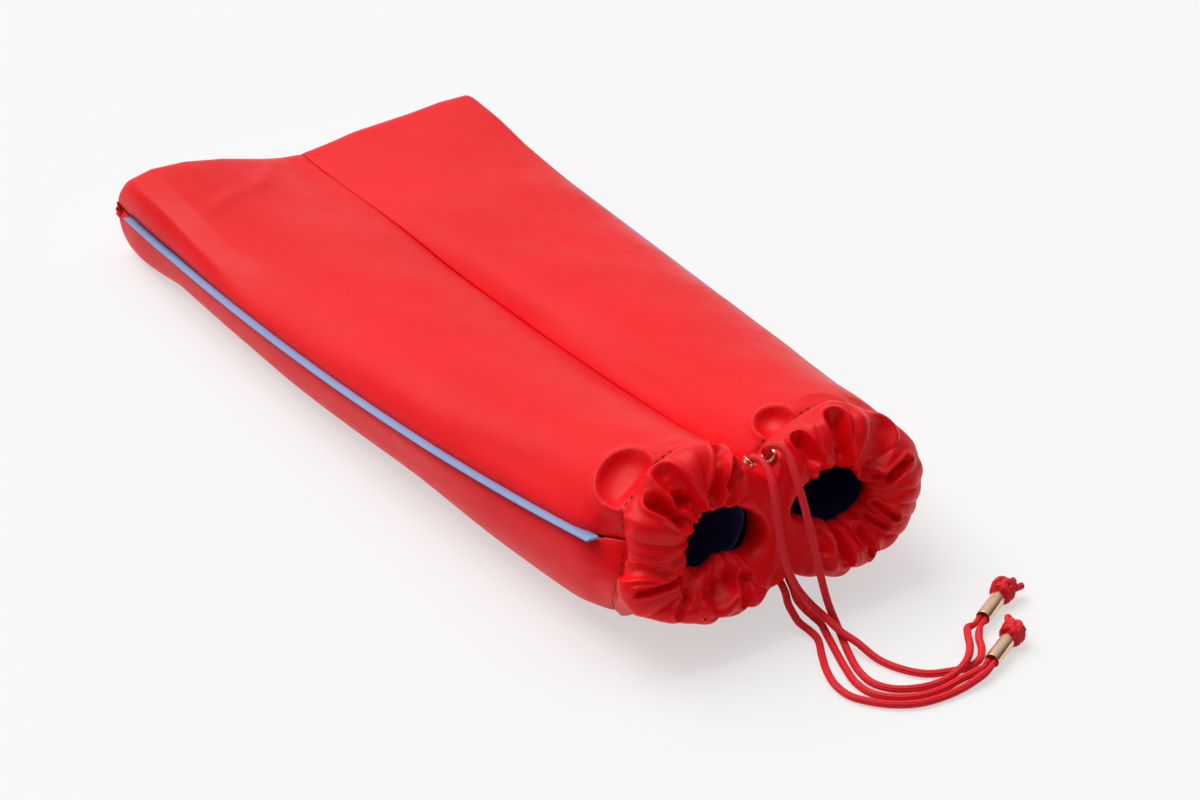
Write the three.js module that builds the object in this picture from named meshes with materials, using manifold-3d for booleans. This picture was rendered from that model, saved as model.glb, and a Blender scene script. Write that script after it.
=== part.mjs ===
// Kinchaku drawstring pouch with two padded lobes side by side. Each lobe is a pocket that
// opens through a gathered collar, and two cords run round the collars and out at the middle.
// Millimetres. X is to the right, Y runs from the mouth to the closed end, Z is up.
import * as THREE from 'three';
import { mergeVertices } from 'three/addons/utils/BufferGeometryUtils.js';
import Module from 'manifold-3d';

const wasm = await Module();
wasm.setup();

// Body
const BODY_LENGTH = 398;
const MOUTH_HALF_WIDTH = 71.4;
const END_HALF_WIDTH = 96.7;
const SIDE_BULGE = 5.7;
const MOUTH_HEIGHT = 73;
const END_HEIGHT = 37.3;
const MIDDLE_SAG = 8;
const UNDERSIDE_FLAT = 0.8; // how much of the round underside is pressed flat by the table
const END_ROUND = 14;
const END_SEAM_HEIGHT = 20.4;
const LEATHER = 1.4;
const LINING = 0.7;
const LINING_SLACK = 1;
const SEAM_GAP = 0.3;

// Seam between the body and the gathered collars. It leans back towards the closed end.
const SEAM_SETBACK = 1.2;
const SEAM_LEAN = 0.39;
const GROOVE_SETBACK = 5;
const GROOVE_WIDTH = 12;

// Edge strip in the side seams
const STRIP_THICKNESS = 1;
const STRIP_PROUD = 2.6;
const STRIP_TUCK = 2.6;
const STRIP_FRONT = 0.025; // fraction of the body length where the strip starts

// Gathered collars
const OPENING_CENTRE = new THREE.Vector2(25, 44);
const CASING_PLEATS = 6;
const PLEATED_SHARE = 0.82; // the rest of each band lies smooth against its twin
const COLLAR_LIFT = 0.12;

// Cords, eyelets, beads
const CORD_DIAMETER = 3.2;
const STRAND_DIAMETER = 2.2; // the cord squeezed inside a bead
const STRAND_SPACING = 2.5;
const EYELET_BORE = 2;
const EYELET_BARREL = 2.5;
const EYELET_FLANGE = 3.5;
const TOP_EYELET_ANGLE = 136;
const BOTTOM_EYELET_ANGLE = -138;
const BEAD_DIAMETER = 6.2;
const BEAD_BORE = 5.4;
const BEAD_LENGTH = 14.6;
const BEAD_TRAVEL = 4;
const KNOT_RADIUS = 5.2;

// Fineness
const BODY_STATIONS = 11;
const PANEL_COLUMNS = 13;
const END_ROWS = 4;
const CASING_COLUMNS = 28;
const LINING_COLUMNS = 18;

const LEATHER_RED = new THREE.MeshStandardMaterial({ color: 0xe0101f, roughness: 0.42 });
const FACING_RED = new THREE.MeshStandardMaterial({ color: 0xb80d1c, roughness: 0.5 });
const NAVY_LINING = new THREE.MeshStandardMaterial({ color: 0x141a52, roughness: 0.85 });
const PALE_BLUE = new THREE.MeshStandardMaterial({ color: 0xa9c4ea, roughness: 0.55 });
const CORD_RED = new THREE.MeshStandardMaterial({ color: 0xd41026, roughness: 0.75 });
const GOLD = new THREE.MeshStandardMaterial({ color: 0xd8b070, roughness: 0.22, metalness: 1 });

const { lerp, clamp, smoothstep, degToRad } = THREE.MathUtils;
const signedPower = (value, power) => Math.sign(value) * Math.abs(value) ** power;

// Body section

// One lobe's section at a fraction of the way from the mouth to the closed end: a superellipse
// whose inner side is cut off by the wall between the pockets.
function lobeAt(share) {
  const bow = 4 * share * (1 - share);
  const halfWidth = lerp(MOUTH_HALF_WIDTH, END_HALF_WIDTH, share) + SIDE_BULGE * bow;
  const height = lerp(MOUTH_HEIGHT, END_HEIGHT, share) - MIDDLE_SAG * bow;
  const power = lerp(2.1, 2.9, share);
  const grooveHeight = lerp(0.5, 0.8, smoothstep(share, 0.6, 1));
  const reach = (1 - grooveHeight ** power) ** (1 / power);
  const radius = halfWidth / (1 + reach);
  const sideRise = lerp(0.167, 0.1, share);
  const sideAngle = Math.asin(sideRise ** (power / 2));
  return { radius, rise: height / 2, centre: radius * reach, power, sideAngle };
}

function lobePoint(lobe, angle, inset) {
  const x = lobe.centre + (lobe.radius - inset) * signedPower(Math.cos(angle), 2 / lobe.power);
  const below = Math.sin(angle) < 0 ? UNDERSIDE_FLAT : 0;
  const height = (lobe.rise - inset + below) * signedPower(Math.sin(angle), 2 / lobe.power);
  return new THREE.Vector2(x, Math.max(lobe.rise + height, inset));
}

// The angle at which the lobe's outline meets an upright wall at the given X.
function wallAngle(lobe, inset, wall) {
  const run = (lobe.centre - wall) / (lobe.radius - inset);
  return Math.PI - Math.acos(run ** (lobe.power / 2));
}

// The leaning plane of the collar seam, and how far the seam steps back in the upper groove.
function leanY(z) {
  return SEAM_LEAN * (z - MOUTH_HEIGHT / 2) - SEAM_SETBACK;
}

function grooveSetback(x, z) {
  const middle = Math.exp(-((x / GROOVE_WIDTH) ** 2));
  return GROOVE_SETBACK * middle * smoothstep(z, MOUTH_HEIGHT / 2, MOUTH_HEIGHT * 0.8);
}

function seamY(x, z) {
  return leanY(z) + grooveSetback(x, z);
}

function stationY(x, z, share) {
  return lerp(seamY(x, z), BODY_LENGTH - END_ROUND, share);
}

// Stations along the body, as shares of the way from the seam to the closed end. The side
// strip starts at the second.
function stationShares() {
  const even = Array.from({ length: BODY_STATIONS }, (_, i) => i / (BODY_STATIONS - 1));
  return [0, STRIP_FRONT, ...even.slice(1)];
}

// Closed solids

function solidGeometry(points, index) {
  const geometry = new THREE.BufferGeometry().setFromPoints(points);
  geometry.setIndex(signedVolume(points, index) < 0 ? index.reverse() : index);
  geometry.computeVertexNormals();
  return geometry;
}

function signedVolume(points, index) {
  let six = 0;
  const cross = new THREE.Vector3();
  for (let i = 0; i < index.length; i += 3) {
    cross.crossVectors(points[index[i + 1]], points[index[i + 2]]);
    six += points[index[i]].dot(cross);
  }
  return six / 6;
}

// Closes an outer and an inner skin, two grids with matching points, into one sheet of material.
function sheetSolid(outer, inner) {
  const lastRow = outer.length - 1;
  const lastColumn = outer[0].length - 1;
  const columns = outer[0].length;
  const points = [...outer.flat(), ...inner.flat()];
  const out = (r, c) => r * columns + c;
  const inn = (r, c) => (outer.length + r) * columns + c;
  const index = [];
  const quad = (a, b, c, d) => index.push(a, b, c, a, c, d);
  for (let r = 0; r < lastRow; r++) {
    for (let c = 0; c < lastColumn; c++) {
      quad(out(r, c), out(r, c + 1), out(r + 1, c + 1), out(r + 1, c));
      quad(inn(r, c), inn(r + 1, c), inn(r + 1, c + 1), inn(r, c + 1));
    }
    quad(out(r, 0), out(r + 1, 0), inn(r + 1, 0), inn(r, 0));
    quad(out(r + 1, lastColumn), out(r, lastColumn), inn(r, lastColumn), inn(r + 1, lastColumn));
  }
  for (let c = 0; c < lastColumn; c++) {
    quad(out(0, c + 1), out(0, c), inn(0, c), inn(0, c + 1));
    quad(out(lastRow, c), out(lastRow, c + 1), inn(lastRow, c + 1), inn(lastRow, c));
  }
  return solidGeometry(points, index);
}

// The same for rings: a bag that is open at its first ring and closed by a cap at its last.
function bagSolid(outer, inner) {
  const lastRow = outer.length - 1;
  const columns = outer[0].length;
  const points = [...outer.flat(), ...inner.flat(), ringCentre(outer.at(-1)), ringCentre(inner.at(-1))];
  const out = (r, c) => r * columns + (c % columns);
  const inn = (r, c) => (outer.length + r) * columns + (c % columns);
  const index = [];
  const quad = (a, b, c, d) => index.push(a, b, c, a, c, d);
  for (let c = 0; c < columns; c++) {
    for (let r = 0; r < lastRow; r++) {
      quad(out(r, c), out(r, c + 1), out(r + 1, c + 1), out(r + 1, c));
      quad(inn(r, c), inn(r + 1, c), inn(r + 1, c + 1), inn(r, c + 1));
    }
    quad(out(0, c + 1), out(0, c), inn(0, c), inn(0, c + 1));
    index.push(out(lastRow, c), out(lastRow, c + 1), points.length - 2);
    index.push(inn(lastRow, c + 1), inn(lastRow, c), points.length - 1);
  }
  return solidGeometry(points, index);
}

function ringCentre(ring) {
  const sum = ring.reduce((total, point) => total.add(point), new THREE.Vector3());
  return sum.divideScalar(ring.length);
}

// Mirrors a solid to the left lobe.
function sided(geometry, side) {
  if (side > 0) return geometry;
  const points = [];
  const position = geometry.getAttribute('position');
  for (let i = 0; i < position.count; i++) {
    points.push(new THREE.Vector3(-position.getX(i), position.getY(i), position.getZ(i)));
  }
  return solidGeometry(points, [...geometry.getIndex().array]);
}

// Leather panels

// A panel covers half a lobe: from the side seam over the crest (up = 1), or under the belly
// (up = -1), to the groove in the middle, and round the closed end to the end seam.
function panelSkin(up, inset) {
  const rows = stationShares().map((share) => panelRow(up, inset, share));
  const rim = rows.at(-1);
  for (let i = 1; i <= END_ROWS; i++) {
    rows.push(rim.map((point) => endPoint(point, up, inset, (i / END_ROWS) * (Math.PI / 2))));
  }
  return rows;
}

function panelRow(up, inset, share) {
  const lobe = lobeAt(share);
  const last = up * wallAngle(lobe, inset, SEAM_GAP / 2);
  const stripRoom = share > 0 ? (STRIP_THICKNESS + SEAM_GAP) / 2 : 0;
  const row = [];
  for (let i = 0; i < PANEL_COLUMNS; i++) {
    const point = lobePoint(lobe, lerp(lobe.sideAngle, last, i / (PANEL_COLUMNS - 1)), inset);
    if (i === 0) point.y += up * (SEAM_GAP / 2 + stripRoom);
    row.push(new THREE.Vector3(point.x, stationY(point.x, point.y, share), point.y));
  }
  return row;
}

function endPoint(rim, up, inset, turn) {
  const seam = END_SEAM_HEIGHT + (up * SEAM_GAP) / 2;
  const y = BODY_LENGTH - END_ROUND + (END_ROUND - inset) * Math.sin(turn) ** 0.8;
  const z = seam + (rim.z - seam) * Math.max(Math.cos(turn), 0) ** 0.6;
  return new THREE.Vector3(rim.x, y, z);
}

function panel(side, up) {
  return sided(sheetSolid(panelSkin(up, 0), panelSkin(up, LEATHER)), side);
}

// The wall between the pockets: a leather sheet from the groove down to the ridge underneath.
function divider() {
  const edge = (up, share) => {
    const lobe = lobeAt(share);
    const point = lobePoint(lobe, up * wallAngle(lobe, LEATHER, SEAM_GAP / 2), LEATHER);
    const z = point.y - up * 2 * SEAM_GAP;
    const front = share === 0 ? SEAM_GAP : 0;
    return new THREE.Vector2(stationY(point.x, z, share) + front, z);
  };
  const shares = stationShares();
  const over = shares.map((share) => edge(1, share));
  const under = shares.map((share) => edge(-1, share)).reverse();
  const geometry = new THREE.ExtrudeGeometry(new THREE.Shape([...under, ...over]), {
    depth: LEATHER,
    bevelEnabled: false,
  });
  const alongY = new THREE.Vector3(0, 1, 0);
  const alongZ = new THREE.Vector3(0, 0, 1);
  const alongX = new THREE.Vector3(1, 0, 0);
  geometry.applyMatrix4(new THREE.Matrix4().makeBasis(alongY, alongZ, alongX));
  return geometry.translate(-LEATHER / 2, 0, 0);
}

// A flat strip sewn into the side seam, standing a little proud of it.
function sideStrip(side) {
  const layer = (height) => stationShares().slice(1).map((share) => {
    const lobe = lobeAt(share);
    const seam = lobePoint(lobe, lobe.sideAngle, 0);
    const z = seam.y + height;
    const reach = [-STRIP_TUCK, STRIP_PROUD];
    return reach.map((out) => new THREE.Vector3(seam.x + out, stationY(seam.x, z, share), z));
  });
  return sided(sheetSolid(layer(STRIP_THICKNESS / 2), layer(-STRIP_THICKNESS / 2)), side);
}

// Pocket lining

// Each pocket's lining starts at the collar's facing, flares out and follows the lobe.
const LINING_THROAT = [
  { size: 0.6, behind: 7 },
  { size: 0.76, behind: 11 },
  { size: 0.9, behind: 18 },
];
const LINING_END_SIZE = 0.75;
const LINING_END_STEP = 8;

function liningRing(lobe, inset) {
  const wall = SEAM_GAP / 2 + inset;
  const meet = wallAngle(lobe, inset, wall);
  const bends = Math.round(LINING_COLUMNS * 0.8);
  const ring = [];
  for (let i = 0; i <= bends; i++) {
    ring.push(lobePoint(lobe, lerp(-meet, meet, i / bends), inset));
  }
  const [low, high] = [ring[0], ring.at(-1)];
  for (let i = bends + 1; i < LINING_COLUMNS; i++) {
    const down = (i - bends) / (LINING_COLUMNS - bends);
    ring.push(new THREE.Vector2(wall, lerp(high.y, low.y, down)));
  }
  return ring;
}

function liningSkin(thickness) {
  const inset = LEATHER + LINING_SLACK + thickness;
  const mouth = liningRing(lobeAt(0), inset);
  const rows = LINING_THROAT.map(({ size, behind }) => mouth.map((point) => {
    const spot = OPENING_CENTRE.clone().lerp(point, size);
    return new THREE.Vector3(spot.x, leanY(spot.y) + behind, spot.y);
  }));
  for (const share of stationShares().slice(2)) {
    rows.push(liningRing(lobeAt(share), inset).map(
      (point) => new THREE.Vector3(point.x, stationY(point.x, point.y, share), point.y)));
  }
  const middle = ringCentre(rows.at(-1));
  rows.push(rows.at(-1).map((point) => {
    const closer = middle.clone().lerp(point, LINING_END_SIZE);
    return closer.setY(point.y + LINING_END_STEP - thickness);
  }));
  return rows;
}

function lining(side) {
  return sided(bagSolid(liningSkin(0), liningSkin(LINING)), side);
}

// Gathered collars

// The collar band's profile, as radius and distance in front of the seam. It leaves the seam,
// puffs out, rolls over the lip and runs back inside as the facing. out and ahead are how far
// a pleat moves each point.
const NOMINAL_RADIUS = 36;
const BAND_PROFILE = [
  { radius: 36, front: 0.3, out: 0.2, ahead: 0 },
  { radius: 37, front: 3, out: 1.2, ahead: 0 },
  { radius: 36.8, front: 6.4, out: 1.7, ahead: 0.3 },
  { radius: 34.2, front: 9.6, out: 1.6, ahead: 0.8 },
  { radius: 29.6, front: 11.8, out: 1, ahead: 1.2 },
  { radius: 24, front: 12.7, out: 0.6, ahead: 1.4 },
  { radius: 18.8, front: 11.6, out: 0.8, ahead: 1.1 },
  { radius: 15.8, front: 8.8, out: 1.1, ahead: 0.6 },
  { radius: 15.2, front: 5, out: 1.1, ahead: 0.2 },
  { radius: 16.6, front: 0.8, out: 0.8, ahead: 0 },
  { radius: 19.2, front: -3, out: 0.5, ahead: 0 },
  { radius: 22.4, front: -6.2, out: 0.2, ahead: 0 },
];

// The profile moved towards its hollow side by the leather's thickness.
function innerProfile() {
  return BAND_PROFILE.map((point, i) => {
    const before = BAND_PROFILE[Math.max(i - 1, 0)];
    const after = BAND_PROFILE[Math.min(i + 1, BAND_PROFILE.length - 1)];
    const run = new THREE.Vector2(after.radius - before.radius, after.front - before.front);
    run.setLength(LEATHER);
    return { ...point, radius: point.radius - run.y, front: point.front + run.x };
  });
}

// Half the seam's outline, from the side seam to the middle of the wall between the lobes.
function seamOutline(up) {
  const lobe = lobeAt(0);
  const wall = SEAM_GAP / 2;
  const last = up * wallAngle(lobe, 0, wall);
  const points = [];
  for (let i = 0; i <= 24; i++) {
    const point = lobePoint(lobe, lerp(lobe.sideAngle, last, i / 24), 0);
    points.push(new THREE.Vector3(point.x, 0, point.y));
  }
  const corner = points.at(-1);
  for (let i = 1; i <= 6; i++) {
    points.push(new THREE.Vector3(wall, 0, lerp(corner.z, MOUTH_HEIGHT / 2, i / 6)));
  }
  return new THREE.CatmullRomCurve3(points, false, 'centripetal').getSpacedPoints(CASING_COLUMNS);
}

// Rounded pleats, uneven in width, that die out at the side seam and along the middle.
function pleat(along, up) {
  const run = along / PLEATED_SHARE;
  const shift = 0.5 * Math.sin(4.3 * run + up) + 0.35 * Math.sin(9.1 * run + 2 * up);
  const wave = Math.cos(2 * Math.PI * CASING_PLEATS * run + shift);
  const fade = smoothstep(along, 0, 0.05) * (1 - smoothstep(along, PLEATED_SHARE - 0.1, PLEATED_SHARE));
  return wave * fade;
}

function bandPoint(spot, station, wave, floor) {
  const radius = station.radius + station.out * wave;
  const front = station.front + station.ahead * wave;
  const size = radius / NOMINAL_RADIUS;
  const lift = spot.z < OPENING_CENTRE.y ? COLLAR_LIFT * smoothstep(front, 0, 3) : 0;
  const x = OPENING_CENTRE.x + (spot.x - OPENING_CENTRE.x) * size;
  const z = OPENING_CENTRE.y + (spot.z - OPENING_CENTRE.y) * size * (1 - lift);
  const setback = grooveSetback(spot.x, spot.z) * (1 - smoothstep(front, 0, 6));
  const outside = radius > NOMINAL_RADIUS * 0.9 ? 1 : 0;
  const y = leanY(z) + setback * outside - front;
  return new THREE.Vector3(Math.max(x, SEAM_GAP / 2 + floor), y, Math.max(z, 0.1 + floor));
}

function bandSkin(up, profile, floor) {
  const outline = seamOutline(up);
  return outline.map((spot, i) => {
    const along = i / (outline.length - 1);
    const wave = pleat(along, up);
    const parting = i === 0 || i === outline.length - 1 ? (up * SEAM_GAP) / 2 : 0;
    return profile.map((station) => {
      const point = bandPoint(spot, station, wave, floor);
      return point.setZ(point.z + parting);
    });
  });
}

function casing(side, up) {
  const band = sheetSolid(bandSkin(up, BAND_PROFILE, 0), bandSkin(up, innerProfile(), LEATHER));
  const hole = new THREE.CylinderGeometry(EYELET_BARREL + SEAM_GAP, EYELET_BARREL + SEAM_GAP, 12, 16);
  hole.applyMatrix4(eyeletMatrix(1, up));
  return sided(cut(band, hole), side);
}

// Booleans

function toManifold(geometry) {
  const bare = geometry.clone();
  bare.deleteAttribute('normal');
  bare.deleteAttribute('uv');
  const merged = mergeVertices(bare, 1e-4);
  return new wasm.Manifold(new wasm.Mesh({
    numProp: 3,
    vertProperties: new Float32Array(merged.getAttribute('position').array),
    triVerts: new Uint32Array(merged.getIndex().array),
  }));
}

function toGeometry(solid) {
  const mesh = solid.getMesh();
  const points = [];
  for (let i = 0; i < mesh.vertProperties.length; i += mesh.numProp) {
    points.push(new THREE.Vector3().fromArray(mesh.vertProperties, i));
  }
  return solidGeometry(points, [...mesh.triVerts]);
}

function cut(body, tool) {
  return toGeometry(toManifold(body).subtract(toManifold(tool)));
}

function join(pieces) {
  return toGeometry(pieces.map(toManifold).reduce((whole, piece) => whole.add(piece)));
}

// Eyelets

function eyeletAxis(side, up) {
  const angle = degToRad(up > 0 ? TOP_EYELET_ANGLE : BOTTOM_EYELET_ANGLE);
  return new THREE.Vector3(side * Math.cos(angle), 0, Math.sin(angle)).normalize();
}

// The middle of an eyelet, on the collar's outer face near the groove.
const EYELET_STATION = { radius: 37, front: 5, out: 0, ahead: 0 };

function eyeletSpot(side, up) {
  const angle = degToRad(up > 0 ? TOP_EYELET_ANGLE : BOTTOM_EYELET_ANGLE);
  const point = lobePoint(lobeAt(0), angle, 0);
  const spot = bandPoint(new THREE.Vector3(point.x, 0, point.y), EYELET_STATION, 0, 0);
  return spot.setX(side * spot.x).addScaledVector(eyeletAxis(side, up), SEAM_GAP * 1.5);
}

function eyeletMatrix(side, up) {
  const turn = new THREE.Quaternion();
  turn.setFromUnitVectors(new THREE.Vector3(0, 1, 0), eyeletAxis(side, up));
  return new THREE.Matrix4().compose(eyeletSpot(side, up), turn, new THREE.Vector3(1, 1, 1));
}

// A rolled flange outside, a barrel through the leather and a smaller roll inside.
function eyelet(side, up) {
  const profile = [
    [EYELET_BORE, 1.2],
    [EYELET_BARREL, 1.7],
    [EYELET_FLANGE - 0.3, 1.5],
    [EYELET_FLANGE, 1.1],
    [EYELET_FLANGE - 0.2, 0.9],
    [EYELET_BARREL, 0.9],
    [EYELET_BARREL, -2.3],
    [EYELET_BORE, -2.6],
    [EYELET_BORE, 1.2],
  ].map(([radius, height]) => new THREE.Vector2(radius, height));
  const ring = mergeVertices(new THREE.LatheGeometry(profile.reverse(), 14));
  return ring.applyMatrix4(eyeletMatrix(side, up));
}

// Cords

// A curve that passes its steps exactly through the points of its route.
class Route extends THREE.CatmullRomCurve3 {
  getPointAt(share, target) {
    return this.getPoint(share, target);
  }

  getTangentAt(share, target) {
    return this.getTangent(share, target);
  }
}

function tube(points, diameter) {
  const section = new THREE.Shape(new THREE.EllipseCurve(0, 0, diameter / 2, diameter / 2).getPoints(8).slice(0, 8));
  return new THREE.ExtrudeGeometry(section, {
    extrudePath: new Route(points, false, 'centripetal'),
    steps: points.length - 1,
    bevelEnabled: false,
  });
}

// The stretch of cord hidden in a collar: in at the top eyelet, round the lobe, out underneath.
const TUNNEL_STATION = { radius: 28.5, front: 5.6, out: 0, ahead: 0 };

function casingCord(side) {
  const way = [];
  for (const up of [1, -1]) {
    const half = seamOutline(up)
      .filter((_, i) => i % 4 === 0 && i < CASING_COLUMNS * 0.74)
      .map((spot) => bandPoint(spot, TUNNEL_STATION, 0, 0));
    way.push(...(up > 0 ? half.reverse() : half.slice(1)));
  }
  const ends = [1, -1].map((up) => [0.7, 4].map(
    (deep) => eyeletSpot(1, up).addScaledVector(eyeletAxis(1, up), -deep)));
  const points = [...ends[0], ...way, ...ends[1].reverse()];
  return sided(mergeVertices(bare(tube(points, CORD_DIAMETER))), side);
}

function bare(geometry) {
  geometry.deleteAttribute('normal');
  geometry.deleteAttribute('uv');
  return geometry;
}

// Each bead's end nearest the pouch, and the direction from there to its knot.
const BEADS = {
  top: { mouth: new THREE.Vector3(62.6, -59.9, 4), knot: new THREE.Vector3(75.5, -53.2, 4.6) },
  bottom: { mouth: new THREE.Vector3(48.2, -83.3, 4), knot: new THREE.Vector3(62, -76.4, 4.6) },
};

function beadAxis(level) {
  return BEADS[level].knot.clone().sub(BEADS[level].mouth).normalize();
}

// Across the bead, level with the table, towards the closed end.
function beadAcross(level) {
  return new THREE.Vector3(0, 0, 1).cross(beadAxis(level)).normalize();
}

// Free stretches, from an eyelet over the front of the pouch and along the table to a bead.
const ROUTES = {
  left_top: [
    [-3.6, 4.6, 65.8], [-2.4, 0.8, 66], [-2.4, -3.6, 64.4], [-3.3, -8.4, 61], [-4.6, -12.6, 55.4],
    [-5.6, -16, 48.4], [-6, -19, 41], [-5.6, -21.4, 33.8], [-3.8, -22.8, 27.4], [-1, -24.6, 20.6],
    [3.2, -27.4, 13.8], [7.2, -31.6, 8.6], [9.2, -38.7, 5.7], [11.4, -47, 4.4], [14, -57.5, 1.9],
    [18.1, -67, 1.7], [24.4, -74.2, 1.7], [32.4, -77.6, 1.7], [40.4, -79.4, 1.7], [47, -77.8, 1.9],
    [51.4, -73.4, 2.4], [54, -68.4, 3.1],
  ],
  right_top: [
    [2.5, 5.4, 66.6], [3.4, 3.8, 69], [6, 0.8, 69.6], [7.2, -4, 67.2], [6.6, -9, 62.8],
    [6.2, -13.4, 57.4], [6.4, -16.8, 51], [6.6, -19.6, 44.6], [7, -22, 38.2], [7.4, -24.4, 32],
    [8.2, -26.2, 24.8], [9.4, -27.8, 17.4], [10.8, -29.6, 10.4], [11.8, -32.8, 4.8], [10.8, -38, 1.9],
    [6.9, -48, 1.7], [3.6, -58.8, 1.7], [3.4, -67.6, 1.7], [7.4, -74.4, 1.7], [15, -79, 1.7],
    [24, -81.4, 2.1], [31.4, -82, 4], [39, -79.4, 5.4], [45.6, -73.2, 5.4], [49.6, -66.8, 5.4],
    [53, -62.6, 4.8],
  ],
  left_bottom: [
    [-2, -17, 10.4], [-1.8, -20.6, 8], [-0.4, -24.8, 5.2], [1.9, -29, 2.6], [2.2, -34, 1.7],
    [-2.6, -43.6, 1.7], [-6.8, -52.6, 1.7], [-9.2, -62, 1.7], [-8.4, -69.8, 1.7], [-4, -76.6, 1.7],
    [2.8, -82.9, 1.7], [11.4, -87.2, 1.7], [22, -88.8, 1.7], [32.4, -88.6, 2.2],
  ],
  right_bottom: [
    [1.9, -17, 10.6], [2.9, -20.4, 8.8], [5.4, -24.2, 6.6], [7.6, -28.6, 3.4], [6.6, -34.6, 1.7],
    [3.1, -45.4, 1.7], [0.1, -55.4, 1.7], [-1.8, -64.4, 1.7], [-0.6, -72.8, 1.7], [4.6, -79, 1.7],
    [12.8, -83.4, 1.7], [22.8, -85.3, 2.2], [32.2, -85, 3],
  ],
};

function freeCord(name) {
  const side = name.startsWith('left') ? -1 : 1;
  const level = name.endsWith('top') ? 'top' : 'bottom';
  const up = level === 'top' ? 1 : -1;
  const leave = [-0.4, 2.4].map(
    (out) => eyeletSpot(side, up).addScaledVector(eyeletAxis(side, up), out));
  const apart = -side * (level === 'top' ? -1 : -1) * (CORD_DIAMETER + SEAM_GAP) / 2;
  const arrive = [BEAD_TRAVEL + 3, BEAD_TRAVEL + 1].map((short) => BEADS[level].mouth.clone()
    .addScaledVector(beadAxis(level), -short)
    .addScaledVector(beadAcross(level), apart));
  const points = [...leave, ...ROUTES[name].map((spot) => new THREE.Vector3(...spot)), ...arrive];
  return tube(points, CORD_DIAMETER);
}

// Beads and knots

function along(level, distance, sideways = 0) {
  return BEADS[level].mouth.clone()
    .addScaledVector(beadAxis(level), distance)
    .addScaledVector(beadAcross(level), sideways);
}

function bead(level) {
  const [inner, outer] = [BEAD_BORE / 2, BEAD_DIAMETER / 2];
  const chamfer = 0.2;
  const profile = [
    [inner, 0], [inner, BEAD_LENGTH], [outer - chamfer, BEAD_LENGTH], [outer, BEAD_LENGTH - chamfer],
    [outer, chamfer], [outer - chamfer, 0], [inner, 0],
  ].map(([radius, height]) => new THREE.Vector2(radius, height));
  const ring = mergeVertices(new THREE.LatheGeometry(profile.reverse(), 24));
  const turn = new THREE.Quaternion().setFromUnitVectors(new THREE.Vector3(0, 1, 0), beadAxis(level));
  return ring.applyQuaternion(turn).translate(...BEADS[level].mouth.toArray());
}

// The pair of strands through the bead and the overhand knot that stops it, with two cut ends.
function knot(level) {
  const start = BEAD_LENGTH + SEAM_GAP + KNOT_RADIUS * 0.9;
  const strands = [-0.5, 0.5].map((place) => {
    const ends = [-BEAD_TRAVEL - 0.6, start];
    return tube(ends.map((end) => along(level, end, place * STRAND_SPACING)), STRAND_DIAMETER);
  });
  const middle = along(level, start).setZ(KNOT_RADIUS + 0.4);
  const lump = new THREE.SphereGeometry(KNOT_RADIUS, 10, 8);
  const wrap = new THREE.TorusGeometry(KNOT_RADIUS - 1.3, CORD_DIAMETER / 2, 6, 12);
  const turn = new THREE.Quaternion().setFromUnitVectors(new THREE.Vector3(0, 0, 1), beadAxis(level));
  wrap.applyQuaternion(turn);
  lump.scale(0.92, 0.92, 0.92);
  const tails = [-0.5, 0.5].map((place) => tube([
    along(level, start, place * 3).setZ(middle.z),
    along(level, start + KNOT_RADIUS + 3, place * 6).setZ(middle.z + 0.5),
  ], CORD_DIAMETER));
  return join([...strands, lump.translate(...middle), wrap.translate(...middle), ...tails]);
}

// The pouch

const pouch = new THREE.Group();
const cords = new THREE.Group();

function add(group, name, geometry, material) {
  const mesh = new THREE.Mesh(geometry, material);
  mesh.name = name;
  group.add(mesh);
}

for (const [hand, side] of [['left', -1], ['right', 1]]) {
  add(pouch, `${hand}_top_panel`, panel(side, 1), LEATHER_RED);
  add(pouch, `${hand}_bottom_panel`, panel(side, -1), LEATHER_RED);
  add(pouch, `${hand}_top_casing`, casing(side, 1), LEATHER_RED);
  add(pouch, `${hand}_bottom_casing`, casing(side, -1), LEATHER_RED);
  add(pouch, `${hand}_lining`, lining(side), NAVY_LINING);
  add(pouch, `${hand}_side_strip`, sideStrip(side), PALE_BLUE);
  add(pouch, `${hand}_top_eyelet`, eyelet(side, 1), GOLD);
  add(pouch, `${hand}_bottom_eyelet`, eyelet(side, -1), GOLD);
  add(pouch, `${hand}_casing_cord`, casingCord(side), CORD_RED);
}
add(pouch, 'divider', divider(), FACING_RED);

for (const name of Object.keys(ROUTES)) {
  add(cords, `${name}_cord`, freeCord(name), CORD_RED);
}
for (const level of Object.keys(BEADS)) {
  add(cords, `${level}_bead`, bead(level), GOLD);
  add(cords, `${level}_knot`, knot(level), CORD_RED);
}

// The origin is on the table, under the middle of the pouch itself.
const extent = new THREE.Box3().setFromObject(pouch);
const model = new THREE.Group();
model.add(pouch, cords);
model.position.set(0, -(extent.min.y + extent.max.y) / 2, 0);

export default model;
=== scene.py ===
"""Looks of the kinchaku drawstring pouch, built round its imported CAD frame.

Shapes are worked out in millimetres, with Y counted from the collar seam towards the closed
end, and each mesh is written in metres in the frame of the CAD model.
"""

import math

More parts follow.
